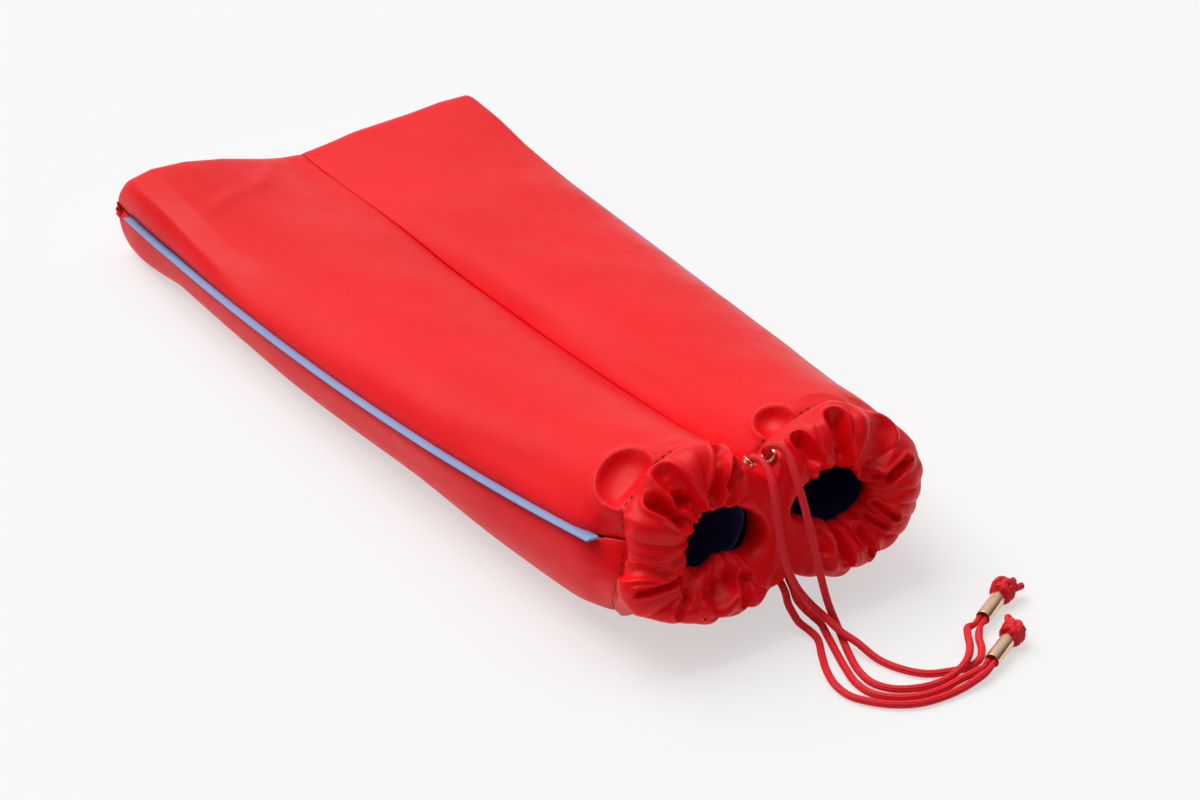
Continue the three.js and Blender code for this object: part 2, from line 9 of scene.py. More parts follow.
import bpy
import numpy as np
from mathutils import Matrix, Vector


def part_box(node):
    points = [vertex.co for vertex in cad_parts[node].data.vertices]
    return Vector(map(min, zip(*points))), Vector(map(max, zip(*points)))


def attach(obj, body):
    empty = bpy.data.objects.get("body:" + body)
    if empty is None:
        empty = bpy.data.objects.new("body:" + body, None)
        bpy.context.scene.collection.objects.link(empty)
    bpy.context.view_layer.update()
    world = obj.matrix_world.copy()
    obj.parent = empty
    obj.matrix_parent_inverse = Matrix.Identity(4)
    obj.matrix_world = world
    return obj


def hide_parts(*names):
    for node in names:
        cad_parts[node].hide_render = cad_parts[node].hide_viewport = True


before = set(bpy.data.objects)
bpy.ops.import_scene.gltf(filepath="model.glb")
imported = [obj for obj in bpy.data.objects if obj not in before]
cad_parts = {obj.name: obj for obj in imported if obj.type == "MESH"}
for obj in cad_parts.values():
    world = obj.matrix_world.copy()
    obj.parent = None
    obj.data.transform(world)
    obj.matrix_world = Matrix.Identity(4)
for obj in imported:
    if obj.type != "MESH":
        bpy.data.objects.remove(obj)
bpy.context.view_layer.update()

MM = 0.001
BODY_LENGTH = 398.0
SEAM_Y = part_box("right_top_panel")[1].y / MM - BODY_LENGTH  # the seam's place in the frame
LEATHER = 1.4  # thickness
CORD = 3.2  # diameter
STRAND = 2.4  # the cord squeezed inside a bead
STRANDS_APART = 1.22  # each strand's distance from the bead's axis


def side_of(hand):
    return -1 if hand == "left" else 1


def lerp(a, b, t):
    return a + (b - a) * t


def smooth(x, low, high):
    t = np.clip((np.asarray(x, float) - low) / (high - low), 0, 1)
    return t * t * (3 - 2 * t)


def signed_power(value, power):
    return np.sign(value) * np.abs(value) ** power


def unit(v):
    v = np.asarray(v, float)
    return v / np.maximum(np.linalg.norm(v, axis=-1, keepdims=True), 1e-12)


# Camera

AZIMUTH, ELEVATION, DISTANCE, LENS = -32.11, 31.95, 1.194, 85
TARGET = Vector((0.00206, 0.12365 + SEAM_Y * MM, 0.027))


def make_camera():
    a, e = math.radians(AZIMUTH), math.radians(ELEVATION)
    back = Vector((math.sin(a) * math.cos(e), -math.cos(a) * math.cos(e), math.sin(e)))
    data = bpy.data.cameras.new("camera")
    data.lens = LENS
    data.sensor_width = 36
    data.clip_start, data.clip_end = 0.05, 50
    camera = bpy.data.objects.new("camera", data)
    camera.location = TARGET + back * DISTANCE
    camera.rotation_euler = (-back).to_track_quat("-Z", "Y").to_euler()
    bpy.context.scene.collection.objects.link(camera)
    bpy.context.scene.camera = camera


make_camera()


# Meshes


def make_mesh(name, points, faces):
    """A mesh object from points in millimetres counted from the seam."""
    points = np.asarray(points, float).reshape(-1, 3) + [0, SEAM_Y, 0]
    mesh = bpy.data.meshes.new(name)
    mesh.from_pydata((points * MM).tolist(), [], [tuple(map(int, f)) for f in faces])
    mesh.polygons.foreach_set("use_smooth", np.ones(len(mesh.polygons), bool))
    mesh.validate()
    mesh.update()
    obj = bpy.data.objects.new(name, mesh)
    bpy.context.scene.collection.objects.link(obj)
    return obj


def grid_quads(rows, columns, start=0, ring=False, flip=False):
    """Quads over a grid of points. A ring joins its last column to its first."""
    r = np.arange(rows - 1)[:, None]
    c = np.arange(columns if ring else columns - 1)[None, :]
    d = (c + 1) % columns
    quads = np.stack(
        np.broadcast_arrays(
            r * columns + c, r * columns + d, (r + 1) * columns + d, (r + 1) * columns + c
        ),
        axis=-1,
    ).reshape(-1, 4)
    return start + (quads[:, ::-1] if flip else quads)


def rim_quads(a, b, flip=False):
    """Quads between two lines of point numbers."""
    quads = np.stack([a[:-1], a[1:], b[1:], b[:-1]], axis=-1)
    return quads[:, ::-1] if flip else quads


def sheet_faces(rows, columns, flip=False):
    """Faces of a sheet with an outer skin, an inner skin and its four edges."""
    n = rows * columns
    outer = np.arange(n).reshape(rows, columns)
    inner = outer + n
    return np.concatenate(
        [
            grid_quads(rows, columns, 0, flip=flip),
            grid_quads(rows, columns, n, flip=not flip),
            rim_quads(inner[0], outer[0], flip),
            rim_quads(outer[-1], inner[-1], flip),
            rim_quads(outer[:, 0], inner[:, 0], flip),
            rim_quads(inner[:, -1], outer[:, -1], flip),
        ]
    )


def normals_of(grid):
    """Unit normals of a grid of points, by columns crossed with rows."""
    return unit(np.cross(np.gradient(grid, axis=1), np.gradient(grid, axis=0)))


def facing(grid, inside):
    """1 if the normals of a grid face away from the points inside it, or else -1."""
    return 1 if np.sum(normals_of(grid) * (grid - inside)) > 0 else -1


def blur(grid, rounds, weight=0.5):
    """Evens out a grid of points, keeping its edges."""
    grid = grid.copy()
    for _ in range(rounds):
        middle = (
            grid[:-2, 1:-1] + grid[2:, 1:-1] + grid[1:-1, :-2] + grid[1:-1, 2:]
        ) / 4
        grid[1:-1, 1:-1] += weight * (middle - grid[1:-1, 1:-1])
    return grid


def make_sheet(name, outer, thickness, outward=1):
    """A closed sheet from a grid of points. outward says which way its normals face."""
    normal = normals_of(outer) * outward
    inner = outer - normal * thickness
    rows, columns = outer.shape[:2]
    points = np.concatenate([outer.reshape(-1, 3), inner.reshape(-1, 3)])
    return make_mesh(name, points, sheet_faces(rows, columns, flip=outward < 0))


def way_along(line):
    """How far along a line of points each of them lies."""
    return np.concatenate([[0], np.cumsum(np.linalg.norm(np.diff(line, axis=0), axis=1))])


def resample(line, count):
    """Points evenly spaced along a line of points."""
    line = np.asarray(line, float)
    far = way_along(line)
    at = np.linspace(0, far[-1], count)
    return np.stack([np.interp(at, far, line[:, k]) for k in range(line.shape[1])], axis=1)


def wander(points, scale, seed):
    """A smooth field of about -1 to 1 over points, from a few slanting waves."""
    dice = np.random.default_rng(seed)
    total = np.zeros(points.shape[:-1])
    for _ in range(7):
        way = unit(dice.normal(size=3)) * dice.uniform(0.6, 1.5) * 2 * math.pi / scale
        total += np.sin(points @ way + dice.uniform(0, 2 * math.pi))
    return total / 3.2


# Cord routes

BEADS = {
    "top": (np.array([62.6, -59.9, 4.0]), np.array([75.5, -53.2, 4.6])),
    "bottom": (np.array([48.2, -83.3, 4.0]), np.array([62.0, -76.4, 4.6])),
}
BEAD_LENGTH, BEAD_DIAMETER, BEAD_BORE = 14.6, 6.2, 5.4
EYELETS = {
    ("left", "top"): ([-5.0, 5.3, 63.0], [0.719, 0, 0.695]),
    ("right", "top"): ([5.0, 5.3, 63.0], [-0.719, 0, 0.695]),
    ("left", "bottom"): ([-4.4, -12.4, 21.6], [0.743, 0, -0.669]),
    ("right", "bottom"): ([4.4, -12.4, 21.6], [-0.743, 0, -0.669]),
}
ROUTES = {
    ("left", "top"): [
        [-3.6, 4.6, 65.8], [-2.4, 0.8, 66], [-2.4, -3.6, 64.4], [-3.3, -8.4, 61], [-4.6, -12.6, 55.4],
        [-5.6, -16, 48.4], [-6, -19, 41], [-5.6, -21.4, 33.8], [-3.8, -22.8, 27.4], [-1, -24.6, 20.6],
        [3.2, -27.4, 13.8], [7.2, -31.6, 8.6], [9.2, -38.7, 5.7], [11.4, -47, 4.4], [14, -57.5, 1.9],
        [18.1, -67, 1.7], [24.4, -74.2, 1.7], [32.4, -77.6, 1.7], [40.4, -79.4, 1.7], [47, -77.8, 1.9],
        [51.4, -73.4, 2.4], [54, -68.4, 3.1],
    ],
    ("right", "top"): [
        [2.5, 5.4, 66.6], [3.4, 3.8, 69], [6, 0.8, 69.6], [7.2, -4, 67.2], [6.6, -9, 62.8],
        [6.2, -13.4, 57.4], [6.4, -16.8, 51], [6.6, -19.6, 44.6], [7, -22, 38.2], [7.4, -24.4, 32],
        [8.2, -26.2, 24.8], [9.4, -27.8, 17.4], [10.8, -29.6, 10.4], [11.8, -32.8, 4.8],
        [10.8, -38, 1.9], [6.9, -48, 1.7], [3.6, -58.8, 1.7], [3.4, -67.6, 1.7], [7.4, -74.4, 1.7],
        [15, -79, 1.7], [24, -81.4, 2.1], [31.4, -82, 4], [39, -79.4, 5.4], [45.6, -73.2, 5.4],
        [49.6, -66.8, 5.4], [53, -62.6, 4.8],
    ],
    ("left", "bottom"): [
        [-1.9, -17.4, 15.4], [-1.8, -19.6, 11], [-1.2, -22.6, 7.6], [-0.4, -25.6, 5],
        [1.9, -29, 2.6], [2.2, -34, 1.7], [-2.6, -43.6, 1.7], [-6.8, -52.6, 1.7],
        [-9.2, -62, 1.7], [-8.4, -69.8, 1.7], [-4, -76.6, 1.7], [2.8, -82.9, 1.7],
        [11.4, -87.2, 1.7], [22, -88.8, 1.7], [32.4, -88.6, 2.2],
    ],
    ("right", "bottom"): [
        [1.9, -17.4, 15.6], [2.4, -19.6, 11.4], [4, -22.6, 8.2], [5.8, -25.4, 5.8],
        [7.6, -28.6, 3.4], [6.6, -34.6, 1.7],
        [3.1, -45.4, 1.7], [0.1, -55.4, 1.7], [-1.8, -64.4, 1.7], [-0.6, -72.8, 1.7],
        [4.6, -79, 1.7], [12.8, -83.4, 1.7], [22.8, -85.3, 2.2], [32.2, -85, 3],
    ],
}


def bead_frame(level):
    """The bead's mouth, the way through it, the way across it and its own up."""
    mouth, knot = BEADS[level]
    axis = unit(knot - mouth)
    across = unit(np.cross([0, 0, 1], axis))
    return mouth, axis, across, np.cross(axis, across)


def spline(points, spacing):
    """Evenly spaced points on a centripetal Catmull-Rom curve through the given points."""
    p = np.asarray(points, float)
    p = np.concatenate([[2 * p[0] - p[1]], p, [2 * p[-1] - p[-2]]])
    out = []
    for a, b, c, d in zip(p[:-3], p[1:-2], p[2:-1], p[3:]):
        gaps = [max(np.linalg.norm(q - r) ** 0.5, 1e-4) for q, r in ((b, a), (c, b), (d, c))]
        start = ((b - a) / gaps[0] - (c - a) / (gaps[0] + gaps[1]) + (c - b) / gaps[1]) * gaps[1]
        end = ((c - b) / gaps[1] - (d - b) / (gaps[1] + gaps[2]) + (d - c) / gaps[2]) * gaps[1]
        t = np.linspace(0, 1, 24, endpoint=False)[:, None]
        out.append(
            (2 * t**3 - 3 * t**2 + 1) * b + (t**3 - 2 * t**2 + t) * start
            + (3 * t**2 - 2 * t**3) * c + (t**3 - t**2) * end
        )
    line = np.concatenate(out + [p[-2:-1]])
    length = np.linalg.norm(np.diff(line, axis=0), axis=1).sum()
    return resample(line, max(int(length / spacing), 8))


# Braided cord

BRAID_COLUMNS = 10  # ribs round the cord
BRAID_PITCH = 1.2  # from one stitch to the next along a rib
BRAID_SIDES = 40
BRAID_STEP = 0.3  # from one ring of points to the next
BRAID_RELIEF = 0.5  # how deep the grooves between stitches are


def braid_relief(around, far):
    """Height from 0 to 1 of slanting stitches in ribs, at a share around and a way along."""
    rib = around * BRAID_COLUMNS
    number = np.floor(rib)
    u = rib - number - 0.5
    lean = np.where(number % 2 == 0, 1.0, -1.0)
    v = far / BRAID_PITCH + lean * u * 0.55 + 0.25 * lean
    v = v - np.floor(v) - 0.5
    return np.sqrt(np.clip(1 - (u / 0.6) ** 2 - (v / 0.58) ** 2, 0, 1))


def tube_frames(line):
    """Sideways and up directions along a line, turning as little as they can."""
    tangent = unit(np.gradient(line, axis=0))
    side = np.zeros_like(line)
    side[0] = unit(np.cross(tangent[0], [0, 0, 1]) + 1e-6)
    for i in range(1, len(line)):
        v = side[i - 1] - tangent[i] * (side[i - 1] @ tangent[i])
        side[i] = unit(v)
    return tangent, side, np.cross(tangent, side)


def ring_of(side, up, angle):
    """Directions round a line, at the given angles from its sideways to its up direction."""
    angle = angle[None, :, None]
    return side[:, None] * np.cos(angle) + up[:, None] * np.sin(angle)


def braided_tube(line, widths, depth=BRAID_RELIEF):
    """Points and faces of a braided cord along a line, with rounded cut ends."""
    far = way_along(line)
    tangent, side, up = tube_frames(line)
    share = np.arange(BRAID_SIDES) / BRAID_SIDES
    angle = share * 2 * math.pi
    relief = braid_relief(share[None, :], far[:, None])
    radius = widths[:, None] / 2 - depth * (1 - relief)
    ease = np.minimum(far, far[-1] - far)[:, None] / 0.8
    radius = radius * np.sqrt(np.clip(1 - (1 - np.clip(ease, 0, 1)) ** 2, 0.16, 1))
    points = (line[:, None] + ring_of(side, up, angle) * radius[..., None]).reshape(-1, 3)
    points = np.concatenate([points, line[:1], line[-1:]])
    faces = [tuple(q) for q in grid_quads(len(line), BRAID_SIDES, ring=True)]
    last = (len(line) - 1) * BRAID_SIDES
    for i in range(BRAID_SIDES):
        j = (i + 1) % BRAID_SIDES
        faces.append((j, i, len(points) - 2))
        faces.append((last + i, last + j, len(points) - 1))
    return points, faces


def join_parts(parts):
    """Several (points, faces) as one."""
    points, faces, start = [], [], 0
    for some, its in parts:
        points.append(np.asarray(some))
        faces += [tuple(int(i) + start for i in f) for f in its]
        start += len(some)
    return np.concatenate(points), faces


def free_cord(hand, level):
    """A cord from its eyelet into its bead, squeezed as it nears the bead's mouth."""
    spot, axis = (np.array(v, float) for v in EYELETS[hand, level])
    mouth, along, across, _ = bead_frame(level)
    side = side_of(hand)
    leave = [spot - 0.8 * axis, spot + 2.4 * axis]
    arrive = [
        mouth + run * along + side * apart * across
        for run, apart in ((-5.5, 1.3), (-2.4, STRANDS_APART), (1.6, STRANDS_APART))
    ]
    line = spline(leave + ROUTES[hand, level] + arrive, BRAID_STEP)
    far = np.linspace(0, 1, len(line)) * np.linalg.norm(np.diff(line, axis=0), axis=1).sum()
    width = lerp(CORD, STRAND, smooth(far, far[-1] - 10.5, far[-1] - 6.0))
    points, faces = braided_tube(line, width)
    return make_mesh(f"{hand}_{level}_braid", points, faces), line, far[-1]


# Knots


def knot_line(level, local):
    """A line given along, across and above the bead's axis, counted from its knot end."""
    mouth, axis, across, up = bead_frame(level)
    start = mouth + axis * BEAD_LENGTH
    return spline([start + a * axis + b * across + c * up for a, b, c in local], BRAID_STEP)


def ring_around(centre, radius, tilt, turns, start, drift, count=18):
    """A wrap round the bead's axis: drift is how far it moves along the axis each turn."""
    points = []
    for i in range(count + 1):
        angle = start + turns * 2 * math.pi * i / count
        points.append([
            centre + drift * turns * i / count + tilt * radius * math.sin(angle),
            radius * math.cos(angle),
            radius * math.sin(angle) * 0.96 + 0.4,
        ])
    return points


def knot_parts(level):
    """A doubled overhand knot: two strands wrap round, cross over and come out as cut ends."""
    width = CORD * 0.94
    tail_side = -1 if level == "top" else 1
    lines = []
    for k, lift in ((-1, 0.0), (1, 0.35)):
        lines.append(ring_around(3.2 + k * 1.35, 3.4 + lift, 0.10, 1.12, 1.9 + 0.3 * k, 1.2))
        lines.append([
            [-1.2, k * 1.2, 0.1], [1.0, k * 1.3 - 0.4, 0.5], [3.0, k * 1.45 - 1.6 * tail_side, 2.6],
            [5.6, k * 1.5 - 0.6 * tail_side, 4.3], [7.6, k * 1.5 + 0.8 * tail_side, 3.3],
            [8.2, k * 1.4 + 1.8 * tail_side, 0.6], [6.4, k * 1.4 + 1.2 * tail_side, -0.9],
        ])
        lines.append([
            [3.0, k * 1.5, 0.3], [6.6, k * 1.55 + 1.2 * tail_side, 0.4],
            [9.4, k * 1.6 + 2.7 * tail_side, 0.9 + 0.5 * k], [12.0, k * 1.8 + 3.6 * tail_side, 1.0 + 0.8 * k],
        ])
    parts = []
    for local in lines:
        line = knot_line(level, local)
        parts.append(braided_tube(line, np.full(len(line), width)))
    for k in (-1, 1):
        apart = k * STRANDS_APART
        stops = (-BEAD_LENGTH - 3, -BEAD_LENGTH / 2, 0.6)
        line = knot_line(level, [[stop, apart, 0] for stop in stops])
        parts.append(braided_tube(line, np.full(len(line), STRAND)))
    points, faces = join_parts(parts)
    points[:, 2] = np.maximum(points[:, 2], 0.15)
    return points, faces


# Materials


class Shader:
    """Short names for building a material's nodes."""

    def __init__(self, name, color, roughness, **more):
        self.material = bpy.data.materials.new(name)
        self.material.use_nodes = True
        self.tree = self.material.node_tree
        self.bsdf = self.tree.nodes["Principled BSDF"]
        self.set("Base Color", (*color, 1))
        self.set("Roughness", roughness)
        for key, value in more.items():
            self.set(key.replace("_", " "), value)

    def set(self, socket, value):
        self.bsdf.inputs[socket].default_value = value

    def node(self, kind, **inputs):
        """A node: prop_NAME sets a property, iN the input with that number, NAME that input."""
        made = self.tree.nodes.new(kind)
        for key, value in inputs.items():
            if key.startswith("prop_"):
                setattr(made, key[5:], value)
                continue
            numbered = key[0] == "i" and key[1:].isdigit()
            socket = made.inputs[int(key[1:]) if numbered else key.replace("_", " ")]
            if isinstance(value, bpy.types.NodeSocket):
                self.tree.links.new(value, socket)
            else:
                socket.default_value = value
        return made

    def where(self):
        return self.node("ShaderNodeTexCoord").outputs["Object"]

    def noise(self, scale, detail=3, rough=0.5):
        made = self.node("ShaderNodeTexNoise", Scale=scale, Detail=detail, Roughness=rough)
        self.tree.links.new(self.where(), made.inputs["Vector"])
        return made.outputs["Fac"]

    def cells(self, scale):
        made = self.node("ShaderNodeTexVoronoi", Scale=scale)
        self.tree.links.new(self.where(), made.inputs["Vector"])
        return made.outputs["Distance"]

    def spread(self, value, low, high, to_low, to_high):
        made = self.node(
            "ShaderNodeMapRange", Value=value, From_Min=low, From_Max=high,
            To_Min=to_low, To_Max=to_high,
        )
        return made.outputs["Result"]

    def math(self, operation, a, b):
        return self.node("ShaderNodeMath", prop_operation=operation, i0=a, i1=b).outputs[0]

    def mix(self, share, a, b):
        made = self.node("ShaderNodeMix", prop_data_type="RGBA")
        for socket, value in zip((made.inputs[0], made.inputs[6], made.inputs[7]), (share, a, b)):
            if isinstance(value, bpy.types.NodeSocket):
                self.tree.links.new(value, socket)
            else:
                socket.default_value = value if isinstance(value, (int, float)) else (*value, 1)
        return made.outputs[2]

    def bump(self, height, distance, strength=1.0, normal=None):
        made = self.node("ShaderNodeBump", Height=height, Distance=distance, Strength=strength)
        if normal is not None:
            self.tree.links.new(normal, made.inputs["Normal"])
        return made.outputs["Normal"]

    def link(self, value, socket):
        self.tree.links.new(value, self.bsdf.inputs[socket])


def leather(name, color, deep, roughness, grain=1.0):
    """Smooth nappa: fine pebbled grain, faint pores, soft creases and worn tone changes."""
    s = Shader(name, color, roughness, Coat_Weight=0.04, Coat_Roughness=0.25)
    s.set("Specular IOR Level", 0.17)
    tone = s.spread(s.noise(14, 4, 0.55), 0.35, 0.65, 0, 1)
    s.link(s.mix(tone, color, deep), "Base Color")
    pebble = s.cells(900)
    fine = s.noise(1400, 2, 0.5)
    soft = s.noise(55, 3, 0.5)
    rough = s.spread(s.noise(120, 4, 0.6), 0.3, 0.7, roughness - 0.05, roughness + 0.06)
    s.link(rough, "Roughness")
    normal = s.bump(soft, 0.0010, 0.22)
    normal = s.bump(pebble, 0.00006 * grain, 0.5, normal)
    s.link(s.bump(fine, 0.00003 * grain, 0.5, normal), "Normal")
    return s.material


def weave(name, color, deep, scale, roughness=0.8):
    """Fine plain-woven cloth with slight unevenness between its threads."""
    s = Shader(name, color, roughness)
    s.set("Sheen Weight", 0.25)
    s.set("Sheen Roughness", 0.5)
    s.set("Specular IOR Level", 0.3)
    place = s.where()
    waves = []
    for direction in ("X", "Y"):
        made = s.node(
            "ShaderNodeTexWave", Scale=scale, Distortion=0.6, Detail=1.0,
            prop_bands_direction=direction,
        )
        s.tree.links.new(place, made.inputs["Vector"])
        waves.append(made.outputs["Fac"])
    threads = s.math("MAXIMUM", waves[0], waves[1])
    tone = s.spread(s.noise(35, 4, 0.6), 0.3, 0.7, 0, 1)
    s.link(s.mix(tone, color, deep), "Base Color")
    normal = s.bump(s.noise(70, 3), 0.0012, 0.3)
    s.link(s.bump(threads, 0.00012, 0.6, normal), "Normal")
    return s.material


def braid_yarn(name, color, deep):
    """Polyester yarn: fine fibres, a soft sheen and small changes of tone."""
    s = Shader(name, color, 0.55)
    s.set("Sheen Weight", 0.12)
    s.set("Sheen Roughness", 0.35)
    s.set("Specular IOR Level", 0.4)
    tone = s.spread(s.noise(900, 3, 0.6), 0.35, 0.65, 0, 1)
    s.link(s.mix(tone, color, deep), "Base Color")
    fibre = s.noise(5200, 2, 0.5)
    s.link(s.bump(fibre, 0.00008, 0.5), "Normal")
    return s.material


def gold(name, color, roughness):
    """Polished pale gold with faint tone changes and handling marks."""
    s = Shader(name, color, roughness, Metallic=1.0)
    tone = s.spread(s.noise(260, 4, 0.6), 0.35, 0.7, 0, 1)
    s.link(s.mix(tone, color, tuple(c * 0.86 for c in color)), "Base Color")
    marks = s.spread(s.noise(700, 4, 0.65), 0.3, 0.7, roughness - 0.05, roughness + 0.09)
    s.link(marks, "Roughness")
    s.link(s.bump(s.noise(1800, 3, 0.6), 0.00003, 0.4), "Normal")
    return s.material


def thread(name, color):
    """Sewing thread: a little sheen and fine dark specks."""
    s = Shader(name, color, 0.5)
    s.set("Sheen Weight", 0.2)
    tone = s.spread(s.noise(2600, 2), 0.3, 0.7, 0, 1)
    s.link(s.mix(tone, color, tuple(c * 0.7 for c in color)), "Base Color")
    s.link(s.bump(s.noise(6000, 2), 0.00005, 0.5), "Normal")
    return s.material


RED = leather("leather_red", (0.90, 0.003, 0.009), (0.84, 0.002, 0.006), 0.42)
# Red leather painted dark: painted shade for the pocket wall, which lies in the shadow inside the mouths
SHADE_PAINTED_RED = leather("leather_red_painted_shade", (0.16, 0.012, 0.016), (0.10, 0.008, 0.011), 0.42)
NAVY = weave("lining_navy", (0.11, 0.16, 0.62), (0.08, 0.12, 0.50), 900)
BLUE = leather("strip_blue", (0.30, 0.42, 0.70), (0.25, 0.36, 0.63), 0.5, 0.7)
YARN = braid_yarn("cord_red", (0.93, 0.010, 0.024), (0.80, 0.005, 0.016))
GOLD = gold("gold", (0.93, 0.62, 0.42), 0.2)
STITCH = thread("stitch_red", (0.34, 0.004, 0.010))


def finish_piece(obj, material, body="pouch", replaced=()):
    """Gives a piece its material and its body, and hides the CAD nodes that it replaces."""
    obj.data.materials.clear()
    obj.data.materials.append(material)
    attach(obj, body)
    if replaced:
        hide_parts(*replaced)
    return obj


# Body

PANEL_COLUMNS = 92
PANEL_ROWS = 158
END_ROWS = 16
# Height of the top of the closed end, across the pouch, as it lies in the photograph
END_TOP = [
    [-97, 38], [-80, 42.4], [-63, 41.6], [-43, 37.6], [-25, 32], [-11, 27.6], [0, 26.8],
    [15, 29.4], [29, 32.4], [46, 33.6], [60, 34.6], [77, 36.6], [97, 36.6],
]
END_SEAM = 22.6  # height of the seam across the closed end
END_ROUND = 12  # how far the panels turn in at the closed end
LOW_POWER = 0.7  # how much boxier the lower outer side of each lobe is
OPENING_X, OPENING_Z = 25, 44  # the middle of the opening that the angles are told from
SEAM_TURN = 36.5  # the height below which the collar seam slopes back under the pouch


def lobe_at(share):
    """A lobe's section at a share of the length: radius, half height, the centre's distance
    from the middle, power of its superellipse and the angle of the side seam."""
    bow = 4 * share * (1 - share)
    half = lerp(71.4, 96.7, share) + 5.7 * bow
    height = lerp(73, 37.3, share) - 8 * bow
    power = lerp(2.1, 2.9, share) + 2.6 * float(smooth(share, 0.86, 1))
    groove = lerp(0.5, 0.8, float(smooth(share, 0.6, 1)))
    reach = (1 - groove**power) ** (1 / power)
    radius = half / (1 + reach)
    side = math.asin(lerp(0.34, 0.24, share) ** (power / 2))
    return radius, height / 2, radius * reach, power, side


def lobe_line(share, up, wall=0.0, count=400):
    """Half a lobe's outline, as X and Z, from the side seam to the wall in the middle."""
    radius, rise, centre, power, side = lobe_at(share)
    last = up * (math.pi - math.acos(((centre - wall) / radius) ** (power / 2)))
    angle = lerp(side, last, np.linspace(0, 1, count))
    outer_low = (np.sin(angle) < 0) & (np.cos(angle) > 0)
    power = np.where(outer_low, power + LOW_POWER * (1 - smooth(share, 0.8, 1)), power)
    x = centre + radius * signed_power(np.cos(angle), 2 / power)
    below = np.where(np.sin(angle) < 0, 0.8, 0)
    z = np.maximum(rise + (rise + below) * signed_power(np.sin(angle), 2 / power), 0)
    return np.stack([x, z], axis=1)


def settle(x, z, share, side):
    """Where a height in the upper half lies once the closed end has settled unevenly."""
    radius, rise, centre, power, _ = lobe_at(share)
    reach = np.minimum(np.abs(x - centre) / radius, 0.9)
    crest = rise * (1 + (1 - reach**power) ** (1 / power))
    target = np.interp(side * x, *np.array(END_TOP).T)
    ratio = (target - END_SEAM) / (crest - END_SEAM)
    settled = lerp(1, ratio, smooth(share, 0.7, 1))
    return np.where(z > END_SEAM, END_SEAM + (z - END_SEAM) * settled, z)


def lean_y(z):
    """The Y of the plane that the mouths lie in, which leans forward towards the top."""
    return 0.39 * (z - SEAM_TURN) - 1.2


def groove_setback(x, z):
    """How far the seam draws back where it crosses the groove between the lobes."""
    return 5 * np.exp(-((x / 12) ** 2)) * smooth(z, SEAM_TURN, 58.4)


def seam_y(x, z):
    """Where the collar seam lies: it leans forward above and slopes back under the pouch."""
    low = np.maximum(1 - z / SEAM_TURN, 0)
    return np.where(z < SEAM_TURN, -1.2 + 20 * low**1.6, lean_y(z)) + groove_setback(x, z)


# The collar seam's distance from the opening's middle, against the even outline, by the angle
SEAM_PULL = {
    "left": [
        (-140, 1), (-70, 1), (-55, 0.97), (-42, 0.92), (-30, 0.93), (-15, 0.91), (0, 0.81),
        (8, 0.82), (17, 0.88), (23, 0.93), (29, 0.93), (36, 0.92), (45, 0.95), (61, 1),
        (73, 1.06), (90, 1.1), (106, 1.08), (120, 1.03), (135, 1),
    ],
    "right": [
        (-140, 1), (-75, 1), (-60, 0.95), (-40, 0.88), (-25, 0.9), (-7, 1.01), (8, 1.02),
        (19, 0.98), (29, 0.96), (39, 0.93), (52, 0.97), (65, 1.02), (80, 1), (90, 0.98), (110, 1),
    ],
}


def pull_seam(hand, x, z, share):
    """Moves an outline near the mouth in or out to where the gathers hold the seam."""
    angle = np.degrees(np.arctan2(z - OPENING_Z, x - OPENING_X))
    size = np.interp(angle, *np.array(SEAM_PULL[hand]).T)
    size = lerp(1, size, math.exp(-((share / 0.03) ** 2)))
    pulled_z = OPENING_Z + (z - OPENING_Z) * size
    return OPENING_X + (x - OPENING_X) * size, np.maximum(pulled_z, 0)


DEEP_DIMPLE = 3  # past this depth a dimple has a sharp edge and a rim
DIMPLES = {
    # where round the opening in degrees, how far behind the seam, half sizes, depth
    ("left", 1): [(40, 9, 11, 12, 6.2), (84, 6, 12, 7, 1.2), (8, 6, 9, 7, 1.6)],
    ("right", 1): [(110, 6.5, 10, 10.5, 5.6), (66, 5, 13, 7, 1.2), (30, 5, 10, 7, 1.2)],
    ("left", -1): [(-30, 6, 10, 9, 2.0), (-70, 5, 10, 7, 1.5)],
    ("right", -1): [(-34, 6, 10, 9, 2.0), (-72, 5, 10, 7, 1.5)],
}


def panel_grid(hand, up):
    """The outer skin of a leather panel, its rows closest near the collar, and its facing."""
    side = side_of(hand)
    near = np.linspace(0, 0.12, 60, endpoint=False)
    shares = np.concatenate([near, np.linspace(0.12, 1, PANEL_ROWS - len(near))])
    rows = []
    for share in shares:
        line = resample(lobe_line(share, up), PANEL_COLUMNS)
        x, z = line[:, 0], line[:, 1]
        strip = 0.65 if share > 0.024 else 0.12
        z = z + up * strip * np.exp(-np.arange(PANEL_COLUMNS) / 2.0)
        z = settle(x, z, share, side)
        x, z = pull_seam(hand, x, z, share)
        y = lerp(seam_y(x, z), BODY_LENGTH - END_ROUND, share)
        rows.append(np.stack([x, y, z], axis=1))
    rim = rows[-1]
    seam = END_SEAM + up * 0.15
    for i in range(1, END_ROWS + 1):
        turn = i / END_ROWS * math.pi / 2
        y = BODY_LENGTH - END_ROUND + END_ROUND * math.sin(turn) ** 0.8
        z = seam + (rim[:, 2] - seam) * max(math.cos(turn), 0) ** 0.5
        rows.append(np.stack([rim[:, 0], np.full(len(rim), y), z], axis=1))
    grid = np.array(rows)
    return shape_panel(grid, hand, up)


